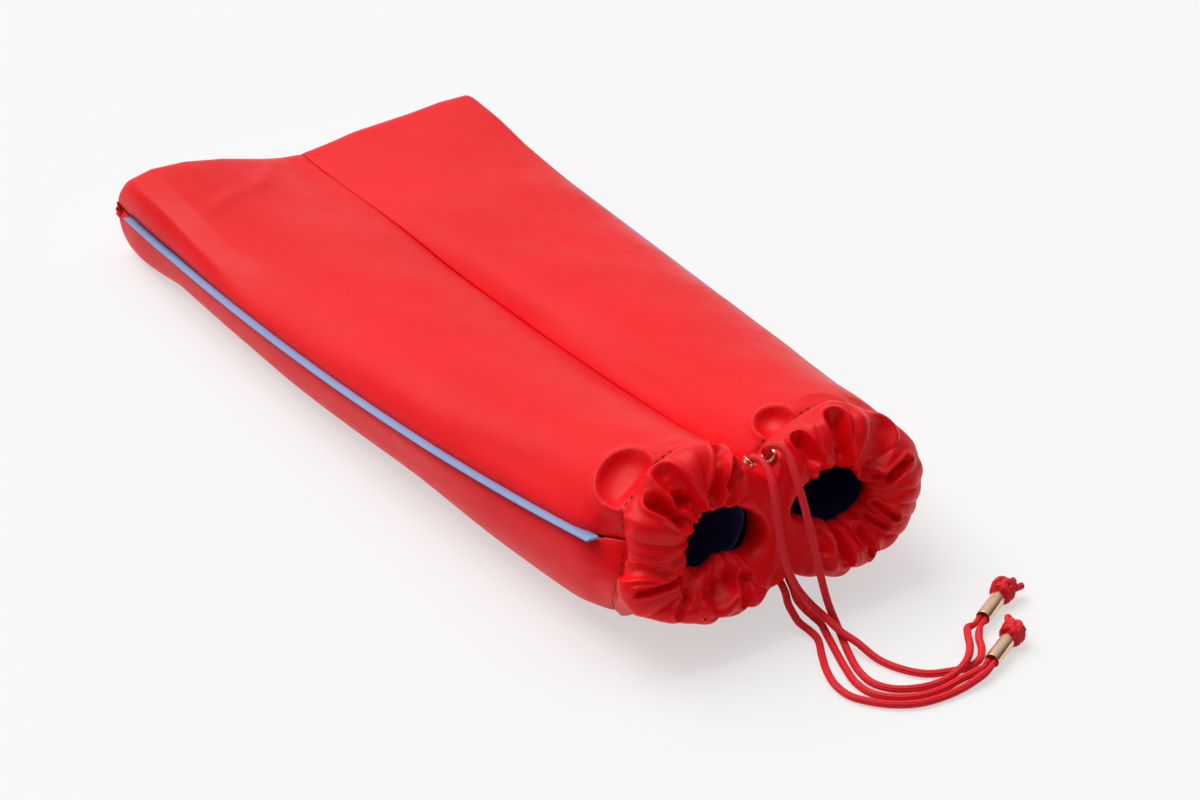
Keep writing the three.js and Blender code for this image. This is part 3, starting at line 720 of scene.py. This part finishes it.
def shape_panel(grid, hand, up):
    """Presses the dimples, seam valleys and soft waves into a panel."""
    side = side_of(hand)
    normal = normals_of(grid)
    normal = normal * facing(grid, np.array([35, 200, 25]))
    behind = grid[..., 1] - seam_y(grid[..., 0], grid[..., 2])
    angle = np.degrees(np.arctan2(grid[..., 2] - OPENING_Z, grid[..., 0] - OPENING_X))
    if up < 0:
        angle = np.where(angle > 90, angle - 360, angle)
    push = np.zeros(grid.shape[:2])
    for where, back, wide, long, depth in DIMPLES[hand, up]:
        arc = (angle - where) * math.pi / 180 * 34
        slant = np.maximum(behind - back, 0) + np.maximum(back - behind, 0) * 0.55
        far = np.sqrt((arc / wide) ** 2 + (slant / long) ** 2)
        sharp = 0.5 if depth > DEEP_DIMPLE else 1.8
        push -= depth * np.clip(1 - far**2, 0, None) ** sharp * smooth(behind, -2, back)
        rim = 0.35 * max(depth - DEEP_DIMPLE, 0)
        push += rim * np.exp(-(((far - 1.1) / 0.2) ** 2)) * smooth(behind, 2, 9)
    push -= 2.6 * np.exp(-((behind / 3.2) ** 2))
    rows, columns = grid.shape[:2]
    across = np.linspace(0, 1, columns)[None, :]
    from_side = np.linalg.norm(grid - grid[:, :1], axis=2)
    push -= 1.1 * np.exp(-((from_side / 2.2) ** 2))
    mirrored = grid * [side, 1, 1]
    waves = wander(mirrored * [1, 0.45, 1], 95, 5 + up)
    waves = waves + wander(mirrored * [1, 0.7, 1], 38, 9 + up) * 0.25
    fade = smooth(behind, 6, 40) * smooth(from_side, 2, 14) * smooth(1 - across, 0.0, 0.12)
    fade = fade * (1 - smooth(grid[..., 1], BODY_LENGTH - 20, BODY_LENGTH - 2))
    push += waves * fade
    if up > 0 and hand == "left":
        push += tucks(mirrored)
    shaped = grid + normal * push[..., None]
    shaped[..., 2] = np.maximum(shaped[..., 2], 0.05)
    shaped[..., 0] = np.maximum(shaped[..., 0], 0.0)
    shaped = shaped * [side, 1, 1]
    return shaped, facing(shaped, np.array([side * 35, 200, 25]))


# Small pulls near the corner of the closed end: place, slant, half sizes and height
TUCKS = [(-58, 352, 0.5, 2.6, 26, 0.7), (-66, 344, 0.5, 2.4, 22, 0.5), (-30, 372, 0.9, 4, 30, 0.9)]


def tucks(mirrored):
    x, y = mirrored[..., 0], mirrored[..., 1]
    pull = np.zeros(x.shape)
    for cx, cy, way, wide, long, high in TUCKS:
        a = (x - cx) * math.cos(way) + (y - cy) * math.sin(way)
        b = -(x - cx) * math.sin(way) + (y - cy) * math.cos(way)
        pull += high * np.exp(-((b / wide) ** 2) - (a / long) ** 2)
    return pull


def stitch_row(name, line, normals, long=2.3, gap=1.1, width=0.5, sides=8):
    """Separate stitches of thread lying along a line of points on a surface."""
    far = way_along(line)
    parts = []
    for start in np.arange(gap, far[-1] - long - gap, long + gap):
        at = start + long * np.linspace(0, 1, 9)
        middle = np.column_stack([np.interp(at, far, line[:, k]) for k in range(3)])
        normal = unit(np.column_stack([np.interp(at, far, normals[:, k]) for k in range(3)]))
        arch = np.sin(math.pi * np.linspace(0.04, 0.96, 9)) ** 0.6
        middle = middle + normal * (arch[:, None] * 0.5 - 0.35)
        along = unit(np.gradient(middle, axis=0))
        across = unit(np.cross(along, normal))
        rise = np.cross(across, along)
        angle = np.arange(sides) / sides * 2 * math.pi
        size = width / 2 * np.sqrt(np.clip(arch, 0.3, 1))[:, None, None]
        ring = ring_of(across, rise, angle)
        faces = [tuple(q) for q in grid_quads(9, sides, ring=True)]
        faces += [tuple(range(sides)), tuple(range(8 * sides, 9 * sides))[::-1]]
        parts.append(((middle[:, None] + ring * size).reshape(-1, 3), faces))
    points, faces = join_parts(parts)
    return finish_piece(make_mesh(name, points, faces), STITCH)


for hand in ("left", "right"):
    for up, level in ((1, "top"), (-1, "bottom")):
        grid, outward = panel_grid(hand, up)
        panel = make_sheet(f"{hand}_{level}_leather", grid, LEATHER, outward)
        finish_piece(panel, RED, replaced=[f"{hand}_{level}_panel"])
        normal = normals_of(grid) * outward
        stitch_row(f"{hand}_{level}_seam_stitches", grid[4, 3:-4], normal[4, 3:-4])


# Gathered collars

COLLAR_COLUMNS = 300
COLLAR_ROWS = 72
# Section of a collar from the seam over the lip to the facing: radius and distance in front
PROFILE = np.array([
    [36, 0.3], [36.8, 3], [36.2, 6.4], [33.8, 9.6], [29.6, 11.6], [24, 12.4], [18.8, 11.4], [15.8, 8.8],
    [15.2, 5], [16.6, 0.8], [19.2, -3], [22.4, -6.2],
])
SEAM_RADIUS, LIP_RADIUS = 36.0, 15.2
LIP_ROW = 0.56  # the lip's place along the profile
BRIDGE_FRONT = 11.6  # how far in front the smooth leather between the mouths lies
# Distance of each mouth's lip from the opening's middle, by the angle round it
MOUTHS = {
    "left": [
        (-180, 18), (-160, 19), (-140, 16), (-125, 12), (-106, 9.5), (-74, 11), (-47, 14.5),
        (-27, 18), (-11, 18), (3, 15.5), (32, 15), (74, 12.2), (114, 10), (150, 13), (180, 18),
    ],
    "right": [
        (-180, 20.5), (-161, 14), (-128, 9.5), (-90, 11), (-70, 11.5), (-51, 14), (-30, 18),
        (-14, 20), (-6, 20), (5, 19), (19, 15.5), (52, 12.5), (88, 11.5), (114, 9), (155, 13.5),
        (180, 20.5),
    ],
}
# Creases of each collar half, as the angle round the opening at the seam and at the lip
CREASES = {
    ("left", 1): [
        (-3, -8), (14, 12), (37, 37), (67, 58), (86, 72), (104, 86), (126, 104), (147, 131),
        (172, 168), (200, 200),
    ],
    ("left", -1): [
        (-3, 2), (19, 19), (37, 30), (61, 47), (81, 66), (99, 90), (116, 109), (140, 140),
        (166, 166),
    ],
    ("right", 1): [
        (-3, -3), (18, 21), (44, 38), (59, 58), (74, 82), (89, 104), (106, 128), (128, 150),
        (165, 172), (200, 200),
    ],
    ("right", -1): [
        (-3, -3), (12, 9), (26, 18), (37, 28), (51, 47), (65, 70), (81, 96), (99, 122),
        (130, 140), (166, 166),
    ],
}
# Folds of each collar: from, to, half width and depth; a negative depth is a puff
FOLDS = {
    "left": [
        ((43.4, 4.3, 70.8), (39.1, -3.1, 63.2), 3.6, 4.2),
        ((41.4, -2.5, 64.1), (36.6, -4.4, 59.5), 3.0, 3.6),
        ((17.3, 8.3, 73.0), (27.4, -3.7, 61.3), 2.9, 4.6),
        ((15.5, 0.9, 68.0), (20.1, -3.2, 63.1), 1.7, 3.2),
        ((51.2, 0.3, 64.3), (41.7, -5.7, 56.2), 2.7, 4.2),
        ((65.8, -4.0, 40.5), (53.8, -11.7, 41.1), 2.4, 1.8),
        ((64.8, -11.4, 35.4), (51.3, -13.8, 35.9), 1.3, 2.2),
        ((51.6, -17.9, 25.0), (47.6, -16.6, 28.5), 1.6, 2.4),
        ((34.3, -16.6, 26.9), (27.4, -14.5, 29.7), 5, 4.5),
        ((22.9, -19.5, 20.9), (19.7, -15.8, 29.0), 2.0, 3),
        ((48.0, -12.5, 37.9), (46.8, -16.2, 29.1), 1.3, 2.6),
        ((56.7, -5.6, 52.9), (56.5, -8.0, 47.5), 9, -1.6),
        ((67.7, -8.2, 35.9), (64.6, -12.9, 32.7), 7, -2.0),
        ((48.0, 5.5, 69.5), (41.1, 3.9, 71.3), 5, -1.6),
        ((28.8, 5.1, 74.2), (32.9, -0.9, 67.8), 5, -1.6),
        ((48.6, -17.6, 21.5), (39.5, -17.8, 19.0), 7, -1.6),
        ((18.4, -18.9, 18.8), (14.9, -18.7, 21.7), 4, -1.5),
        ((61.7, 3.5, 56.1), (44.1, -6.2, 55.1), 2.2, 1.0),
        ((13.6, -1.3, 64.6), (20.3, -4.7, 57.2), 1.8, 1.6),
    ],
    "right": [
        ((16.3, 2.2, 68.2), (18.5, -3.5, 62.0), 2.4, 4.0),
        ((33.5, 2.5, 71.1), (31.4, -4.1, 59.3), 3.4, 5.0),
        ((53.7, -2.0, 61.4), (45.2, -6.5, 54.3), 5, 2.6),
        ((61.2, -8.1, 48.8), (52.4, -9.7, 46.0), 2.0, 3.2),
        ((47.6, -8.5, 46.8), (42.5, -6.1, 49.0), 1.4, 2.4),
        ((50.6, -15.9, 30.6), (44.1, -11.1, 36.2), 1.2, 2.6),
        ((45.7, -16.8, 28.1), (39.1, -12.6, 32.5), 1.2, 2.4),
        ((38.9, -18.9, 18.9), (33.6, -14.6, 29.6), 1.7, 2.8),
        ((25.5, -19.5, 21.4), (23.3, -13.8, 30.6), 2.0, 3),
        ((16.1, -16.9, 27.7), (16.6, -12.8, 34.0), 1.6, 2.2),
        ((24.6, 2.5, 70.1), (23.1, -3.6, 62.1), 4, -2.0),
        ((43.3, 1.0, 68.2), (38.3, -4.8, 58.6), 4, -1.8),
        ((58.7, -11.6, 41.3), (51.1, -14.0, 35.0), 7, -1.8),
        ((30.4, -18.4, 23.8), (31.0, -13.9, 30.2), 4, -1.5),
        ((40.5, -18.3, 24.4), (35.9, -13.7, 30.7), 3, -1.5),
        ((19.0, -19.1, 22.1), (18.0, -15.3, 30.1), 3.5, -1.5),
    ],
}


def fold_push(grid, folds):
    """Sharp-rimmed hollows and rounded puffs, each along a short line on the surface."""
    push = np.zeros(grid.shape[:2])
    for start, end, wide, deep in folds:
        a, b = np.array(start, float), np.array(end, float)
        t = np.clip(((grid - a) @ (b - a)) / ((b - a) @ (b - a)), 0, 1)
        far = np.linalg.norm(grid - (a + t[..., None] * (b - a)), axis=2) / wide
        if deep < 0:
            push -= deep * 1.4 * np.exp(-(far**2))
            continue
        far = far / 1.35
        push -= deep * np.clip(1 - far**2, 0, None)
        push += deep * 0.32 * np.exp(-(((far - 1.15) / 0.32) ** 2))
    return push


def mouth_radius(hand, angle):
    """The lip's distance from the opening's middle, evened out over some degrees."""
    every = np.arange(0, 360, 2.0)
    radius = np.interp(every, *np.array(MOUTHS[hand]).T, period=360)
    near = np.minimum(every, 360 - every)
    kernel = np.exp(-((near / 9) ** 2))
    soft = np.real(np.fft.ifft(np.fft.fft(radius) * np.fft.fft(kernel / kernel.sum())))
    return np.interp(angle, every, soft, period=360)


def half_outline(hand, up):
    """Where a collar half is sewn on, as X and Z, from the side seam down or up the wall."""
    curve = lobe_line(0, up, 0.0, 300)
    corner = curve[-1]
    wall = np.stack([np.zeros(60), lerp(corner[1], SEAM_TURN, np.linspace(0, 1, 61)[1:])], axis=1)
    x, z = np.concatenate([curve, wall]).T
    return resample(np.column_stack(pull_seam(hand, x, z, 0)), COLLAR_COLUMNS)


def profile_line():
    flat = spline(np.column_stack([PROFILE, np.zeros(len(PROFILE))]), 0.3)
    return resample(flat[:, :2], COLLAR_ROWS)


def fold_height(turn, share, hand, up):
    """Rounded puffs between sharp creases, over grids of the turn and the share."""
    lean = smooth(share, 0.05, LIP_ROW)
    pairs = np.array(CREASES[hand, up], float)
    height = np.zeros(turn.shape)
    for (seam_a, lip_a), (seam_b, lip_b) in zip(pairs[:-1], pairs[1:]):
        low, high = lerp(seam_a, lip_a, lean), lerp(seam_b, lip_b, lean)
        place = np.clip((turn - low) / np.maximum(high - low, 1e-6), 0, 1)
        wide = np.minimum((high - low) * math.pi / 180 * 28, 17)
        puff = np.sin(math.pi * place) ** 0.6 - 0.62
        height = np.where((turn >= low) & (turn < high), puff * wide * 0.38, height)
    return height


def collar_base(hand, up):
    """A collar half without folds, as a grid of the right hand side, with the angle round
    the opening, the share along the profile and how far each line belongs to the bridge."""
    outline = half_outline(hand, up)
    profile = profile_line()
    share = np.linspace(0, 1, COLLAR_ROWS)[None, :]
    x0, z0 = outline[:, :1], outline[:, 1:]
    radius, front = profile[None, :, 0], profile[None, :, 1]
    turn = up * np.degrees(np.arctan2(z0 - OPENING_Z, x0 - OPENING_X))
    turn = np.where(turn < -90, turn + 360, turn)
    wall = 1 - smooth(x0, 0.5, 13)
    ramp = smooth(share, 0.0, 0.12) * (share < 0.45)
    front = np.where(front < BRIDGE_FRONT, lerp(front, BRIDGE_FRONT, wall * ramp), front)
    round_lip = np.arctan2(z0 - OPENING_Z, x0 - OPENING_X)
    lip = mouth_radius(hand, np.degrees(round_lip))
    lip_x = OPENING_X + lip * np.cos(round_lip)
    lip_z = OPENING_Z + lip * np.sin(round_lip)
    out = (radius - LIP_RADIUS) / (SEAM_RADIUS - LIP_RADIUS)
    low_corner = np.exp(-(((np.degrees(round_lip) + 58) / 22) ** 2))
    lift = 0.3 + (0.12 if hand == "left" else 0.05) * low_corner
    drop = np.where(z0 < OPENING_Z, lift * smooth(front, 0, 4) * smooth(radius, 15, 33), 0)
    x = lerp(lip_x, x0, out)
    z = lerp(lip_z, OPENING_Z + (z0 - OPENING_Z) * (1 - drop), out)
    leaving = (1 - smooth(front, 0, 7)) * (radius > 31)
    y = lerp(lean_y(z), seam_y(x0, z0), leaving) - front
    x = np.maximum(x, np.where(share < 0.08, 0.15, 0.0))
    grid = np.stack(np.broadcast_arrays(x, y, z), axis=-1)
    return grid, turn, share, wall


def collar_half(hand, up):
    """A collar half with its creases, folds and puffs, and the way its normals face."""
    side = side_of(hand)
    grid, turn, share, wall = collar_base(hand, up)
    hollow = grid[:, :40].mean(axis=1, keepdims=True)
    normal = normals_of(grid) * facing(grid[:, :40], hollow)
    size = grid.shape[:2]
    puff = fold_height(np.broadcast_to(turn, size), np.broadcast_to(share, size), hand, up)
    strength = smooth(share, 0.02, 0.3) * lerp(1, 0.4, smooth(share, 0.62, 1))
    calm = 1 - smooth(wall, 0.05, 0.8) * 0.95
    mirrored = grid * [side, 1, 1]
    fine = wander(mirrored, 9, 21 + up) * 0.35 * smooth(share, 0.2, 0.5)
    fine = fine + wander(mirrored, 24, 31) * 0.8
    seen = smooth(grid[..., 2], 14, 22)
    push = (puff * lerp(0.9, 0.42, seen) + fine * smooth(share, 0.02, 0.2)) * strength * calm
    push += fold_push(grid, FOLDS[hand]) * smooth(share, 0.0, 0.06) * 1.2
    push -= 0.9 * np.exp(-((np.abs(turn) / 2.2) ** 2)) * strength
    grid = grid + normal * push[..., None]
    grid[..., 2] = np.maximum(grid[..., 2], 0.25)
    grid[..., 0] = np.maximum(grid[..., 0], np.where(share < 0.08, 0.15, 0.0))
    grid = blur(grid, 1) * [side, 1, 1]
    return grid, facing(grid[:, :40], grid[:, :40].mean(axis=1, keepdims=True))


for hand in ("left", "right"):
    for up, level in ((1, "top"), (-1, "bottom")):
        grid, outward = collar_half(hand, up)
        collar = make_sheet(f"{hand}_{level}_collar", grid, LEATHER, outward)
        finish_piece(collar, RED, replaced=[f"{hand}_{level}_casing"])


# Linings, strips and wall


LINING_INSET = 2.6
LINING_COLUMNS = 120
# Folds of each lining: angle, how far behind the mouth, half sizes and height
LINING_FOLDS = {
    "left": [(-8, 26, 24, 18, 12), (210, 36, 20, 16, 9), (42, 14, 34, 13, 7), (-60, 20, 30, 12, 5)],
    "right": [(-125, 30, 14, 16, 14), (110, 13, 34, 12, 7), (30, 18, 26, 12, 5), (-50, 20, 20, 12, 5)],
}
# Front rows of a lining: place between lip and seam, and how far behind the mouth's plane
LINING_FRONT = ((0.27, 5.6), (0.31, 7), (0.45, 9), (0.585, 11), (0.7, 14.5), (0.83, 18))


def lining_grid(hand):
    """A lining's outer side, ring by ring from the lip to the closed end."""
    side = side_of(hand)
    rows = []

    def ring(share):
        top = lobe_line(share, 1, 0.6, 200)
        low = lobe_line(share, -1, 0.6, 200)
        loop = np.concatenate([top, low[::-1]])
        middle = loop.mean(axis=0)
        pulled = middle + (loop - middle) * (1 - LINING_INSET / 36)
        pulled[:, 0] = np.maximum(pulled[:, 0], 0.9)
        pulled[:, 1] = np.maximum(pulled[:, 1], 1.8)
        return resample(np.concatenate([pulled, pulled[:1]]), LINING_COLUMNS + 1)[:-1]

    mouth = ring(0)
    around = np.arctan2(mouth[:, 1] - OPENING_Z, mouth[:, 0] - OPENING_X)
    reach = mouth_radius(hand, np.degrees(around))
    lip_x = OPENING_X + reach * np.cos(around)
    lip = np.column_stack([lip_x, OPENING_Z + reach * np.sin(around)])
    for size, behind in LINING_FRONT:
        spot = lerp(lip, mouth, size)
        rows.append(np.column_stack([spot[:, 0], lean_y(spot[:, 1]) + behind, spot[:, 1]]))
    for share in np.linspace(0.08, 0.985, 70):
        loop = ring(share)
        x, z = loop[:, 0], settle(loop[:, 0], loop[:, 1], share, side)
        rows.append(np.column_stack([x, lerp(seam_y(x, z), BODY_LENGTH - 14, share), z]))
    grid = np.array(rows)
    angle = np.arctan2(grid[..., 2] - 38, grid[..., 0] - 32)
    middle = grid.mean(axis=1, keepdims=True)
    inwards = unit(middle - grid)
    behind = grid[..., 1] - lean_y(grid[..., 2])
    fold = 1.8 * np.sin(5 * angle + behind * 0.05 + side) + 1.2 * np.sin(9 * angle - behind * 0.07)
    ease = smooth(behind, 10, 34)
    push = (fold + 3.0) * ease
    for where, back, wide, long, high in LINING_FOLDS[hand]:
        turn = np.degrees(angle) - where
        turn = (turn + 180) % 360 - 180
        push += high * np.exp(-((turn / wide) ** 2) - ((behind - back) / long) ** 2)
    grid = grid + inwards * push[..., None]
    return grid * [side, 1, 1]


def make_lining(hand):
    """A lining as a closed bag: two skins, the rim between them and two closed ends."""
    grid = lining_grid(hand)
    rows, columns = grid.shape[:2]
    side = side_of(hand)
    wrapped = np.concatenate([grid[:, -1:], grid, grid[:, :1]], axis=1)
    normal = normals_of(wrapped)[:, 1:-1] * side
    inner = grid + normal * 0.6
    ends = [grid[-1:].mean(axis=1), inner[-1:].mean(axis=1)]
    points = np.concatenate([grid.reshape(-1, 3), inner.reshape(-1, 3), *ends])
    n = rows * columns
    faces = [tuple(q) for q in grid_quads(rows, columns, 0, ring=True, flip=side < 0)]
    faces += [tuple(q) for q in grid_quads(rows, columns, n, ring=True, flip=side > 0)]
    last = n - columns
    for c in range(columns):
        d = (c + 1) % columns
        a, b = (c, d) if side > 0 else (d, c)
        faces.append((a, n + a, n + b, b))
        faces.append((last + b, last + a, 2 * n))
        faces.append((n + last + a, n + last + b, 2 * n + 1))
    piece = make_mesh(f"{hand}_pocket_lining", points, faces)
    return finish_piece(piece, NAVY, replaced=[f"{hand}_lining"])


for hand in ("left", "right"):
    make_lining(hand)


def make_strip(hand):
    """The flat strip in a side seam, with a rounded outer edge."""
    side = side_of(hand)
    shares = np.linspace(0.025, 1, 160)
    profile = np.array([
        [-2.6, 0.5], [2.2, 0.5], [2.5, 0.36], [2.6, 0.15],
        [2.6, -0.15], [2.5, -0.36], [2.2, -0.5], [-2.6, -0.5],
    ])
    rows = []
    for share in shares:
        radius, rise, centre, power, at = lobe_at(share)
        x = centre + radius * math.cos(at) ** (2 / power)
        z = rise + rise * math.sin(at) ** (2 / power)
        line = np.column_stack([x + profile[:, 0], np.zeros(len(profile)), z + profile[:, 1]])
        line[:, 1] = lerp(seam_y(x, z), BODY_LENGTH - END_ROUND, share)
        rows.append(line)
    grid = np.array(rows) * [side, 1, 1]
    rows, columns = grid.shape[:2]
    faces = [tuple(q) for q in grid_quads(rows, columns, 0, ring=True, flip=side > 0)]
    faces.append(tuple(range(columns)) if side < 0 else tuple(range(columns))[::-1])
    last = (rows - 1) * columns
    ends = tuple(range(last, last + columns))
    faces.append(ends[::-1] if side < 0 else ends)
    piece = make_mesh(f"{hand}_edge_strip", grid, faces)
    return finish_piece(piece, BLUE, replaced=[f"{hand}_side_strip"])


for hand in ("left", "right"):
    make_strip(hand)


def make_wall():
    """The wall between the pockets, with its front edge curled over into the left mouth, in red leather
    painted dark as painted shade.
    """
    rows = []
    shares = np.linspace(0.0, 0.975, 120)
    for share in shares:
        top = settle(np.array(0.0), np.array(lobe_line(share, 1)[-1][1]), share, 1) - 2.6
        low = lobe_line(share, -1)[-1][1] + 2.6
        z = lerp(low, top, np.linspace(0, 1, 28))
        front = smooth(share, 0.09, 0.0)
        x = -front * 9 * smooth(z, 36, 58) * smooth(z, 66, 52) - 0.4
        y = lerp(seam_y(0 * z, z), BODY_LENGTH - 14, share) + 2.5
        rows.append(np.column_stack([x, y, z]))
    piece = make_sheet("pocket_wall", np.array(rows), 1.0)
    return finish_piece(piece, SHADE_PAINTED_RED, replaced=["divider"])


make_wall()


FACING_ROW = 57  # the row of a collar at the front of its facing


def make_hidden_cord(hand):
    """The stretch of drawcord inside a collar, from its top eyelet round to its bottom one."""
    side = side_of(hand)
    tunnel = []
    for up in (1, -1):
        grid = collar_base(hand, up)[0]
        middle = (grid[:, 0] + grid[:, FACING_ROW]) / 2
        middle[:, 1] = lean_y(middle[:, 2]) + 1
        tunnel.append(middle[middle[:, 0] > 11][::24] * [side, 1, 1])
    holes = [EYELETS[hand, level] for level in ("top", "bottom")]
    ends = [np.array(spot) - 1.2 * np.array(axis) for spot, axis in holes]
    line = spline([ends[0], *tunnel[0][::-1], *tunnel[1][1:], ends[1]], 1.6)
    points, faces = braided_tube(line, np.full(len(line), CORD), 0)
    piece = make_mesh(f"{hand}_hidden_cord", points, faces)
    return finish_piece(piece, YARN, replaced=[f"{hand}_casing_cord"])


for hand in ("left", "right"):
    make_hidden_cord(hand)


# Eyelets, beads, cords and knots


def lathe(name, profile, centre, axis, sides=64):
    """A ring turned from a closed profile of radius and height."""
    axis = unit(axis)
    across = unit(np.cross(axis, [0.3, 0.9, 0.2]))
    up = np.cross(axis, across)
    angle = np.arange(sides) / sides * 2 * math.pi
    profile = np.asarray(profile, float)
    ring = across[None] * np.cos(angle)[:, None] + up[None] * np.sin(angle)[:, None]
    points = np.asarray(centre) + profile[:, None, :1] * ring[None] + profile[:, None, 1:] * axis
    faces = grid_quads(len(profile) + 1, sides, ring=True) % (len(profile) * sides)
    return make_mesh(name, points, faces)


def rounded(profile, radius=0.18):
    """A closed profile with its corners rounded."""
    p = np.asarray(profile, float)
    out = []
    for a, b, c in zip(np.roll(p, 1, axis=0), p, np.roll(p, -1, axis=0)):
        u, v = a - b, c - b
        cut = min(radius, np.linalg.norm(u) * 0.4, np.linalg.norm(v) * 0.4)
        first, last = b + unit(u) * cut, b + unit(v) * cut
        for t in (0, 0.33, 0.67, 1):
            out.append((1 - t) ** 2 * first + 2 * t * (1 - t) * b + t**2 * last)
    return out


for (hand, level), (spot, axis) in EYELETS.items():
    profile = rounded([
        [2.0, -2.5], [2.5, -2.3], [2.5, 0.85], [3.2, 0.85],
        [3.5, 1.15], [3.2, 1.55], [2.5, 1.7], [2.0, 1.2],
    ])
    ring = lathe(f"{hand}_{level}_grommet", profile, spot, axis)
    finish_piece(ring, GOLD, replaced=[f"{hand}_{level}_eyelet"])

for level in BEADS:
    mouth, axis, across, up = bead_frame(level)
    inner, outer = BEAD_BORE / 2, BEAD_DIAMETER / 2
    profile = rounded([[inner, 0], [outer, 0], [outer, BEAD_LENGTH], [inner, BEAD_LENGTH]], 0.22)
    tube = lathe(f"{level}_gold_bead", profile, mouth, axis, 72)
    finish_piece(tube, GOLD, f"{level}_bead", [f"{level}_bead"])
    points, faces = knot_parts(level)
    knot = make_mesh(f"{level}_braided_knot", points, faces)
    finish_piece(knot, YARN, replaced=[f"{level}_knot"])
    for hand in ("left", "right"):
        cord, line, length = free_cord(hand, level)
        finish_piece(cord, YARN, replaced=[f"{hand}_{level}_cord"])


# Floor and light


def make_floor():
    """A pale floor that the camera and reflections see a little brighter, with its shadow."""
    mesh = bpy.data.meshes.new("floor")
    mesh.from_pydata([(-6, -6, 0), (6, -6, 0), (6, 6, 0), (-6, 6, 0)], [], [(0, 1, 2, 3)])
    floor = bpy.data.objects.new("floor", mesh)
    bpy.context.scene.collection.objects.link(floor)
    s = Shader("floor_white", (0.90, 0.90, 0.905), 0.7)
    s.set("Specular IOR Level", 0.15)
    path = s.node("ShaderNodeLightPath")
    seen = s.math("MAXIMUM", path.outputs["Is Camera Ray"], path.outputs["Is Glossy Ray"])
    seen = s.math("MAXIMUM", seen, path.outputs["Is Transmission Ray"])
    glow = s.node("ShaderNodeEmission", Color=(1, 1, 1, 1), Strength=0.95)
    mixed = s.node("ShaderNodeMixShader", i0=s.math("MULTIPLY", seen, 0.6))
    s.tree.links.new(s.bsdf.outputs[0], mixed.inputs[1])
    s.tree.links.new(glow.outputs[0], mixed.inputs[2])
    s.tree.links.new(mixed.outputs[0], s.tree.nodes["Material Output"].inputs["Surface"])
    mesh.materials.append(s.material)


def sun(name, direction, strength, spread):
    data = bpy.data.lights.new(name, "SUN")
    data.energy = strength
    data.angle = math.radians(spread)
    light = bpy.data.objects.new(name, data)
    light.rotation_euler = Vector(direction).to_track_quat("-Z", "Y").to_euler()
    bpy.context.scene.collection.objects.link(light)


def make_light():
    """A soft world, bright above and behind, and one wide key light."""
    world = bpy.data.worlds.new("studio")
    world.use_nodes = True
    nodes, links = world.node_tree.nodes, world.node_tree.links
    background = nodes["Background"]
    background.inputs["Color"].default_value = (1, 1, 1, 1)
    place = nodes.new("ShaderNodeTexCoord")
    toward = nodes.new("ShaderNodeVectorMath")
    toward.operation = "DOT_PRODUCT"
    toward.inputs[1].default_value = (0.05, 0.62, 0.78)
    links.new(place.outputs["Generated"], toward.inputs[0])
    ramp = nodes.new("ShaderNodeMapRange")
    ramp.interpolation_type = "SMOOTHSTEP"
    for socket, value in (("From Min", -0.15), ("From Max", 1.0), ("To Min", 0.05), ("To Max", 0.76)):
        ramp.inputs[socket].default_value = value
    links.new(toward.outputs["Value"], ramp.inputs["Value"])
    links.new(ramp.outputs["Result"], background.inputs["Strength"])
    bpy.context.scene.world = world
    sun("key", (0.20, -0.52, -1.0), 1.95, 46)


make_floor()
make_light()
bpy.context.scene.view_settings.view_transform = "Standard"
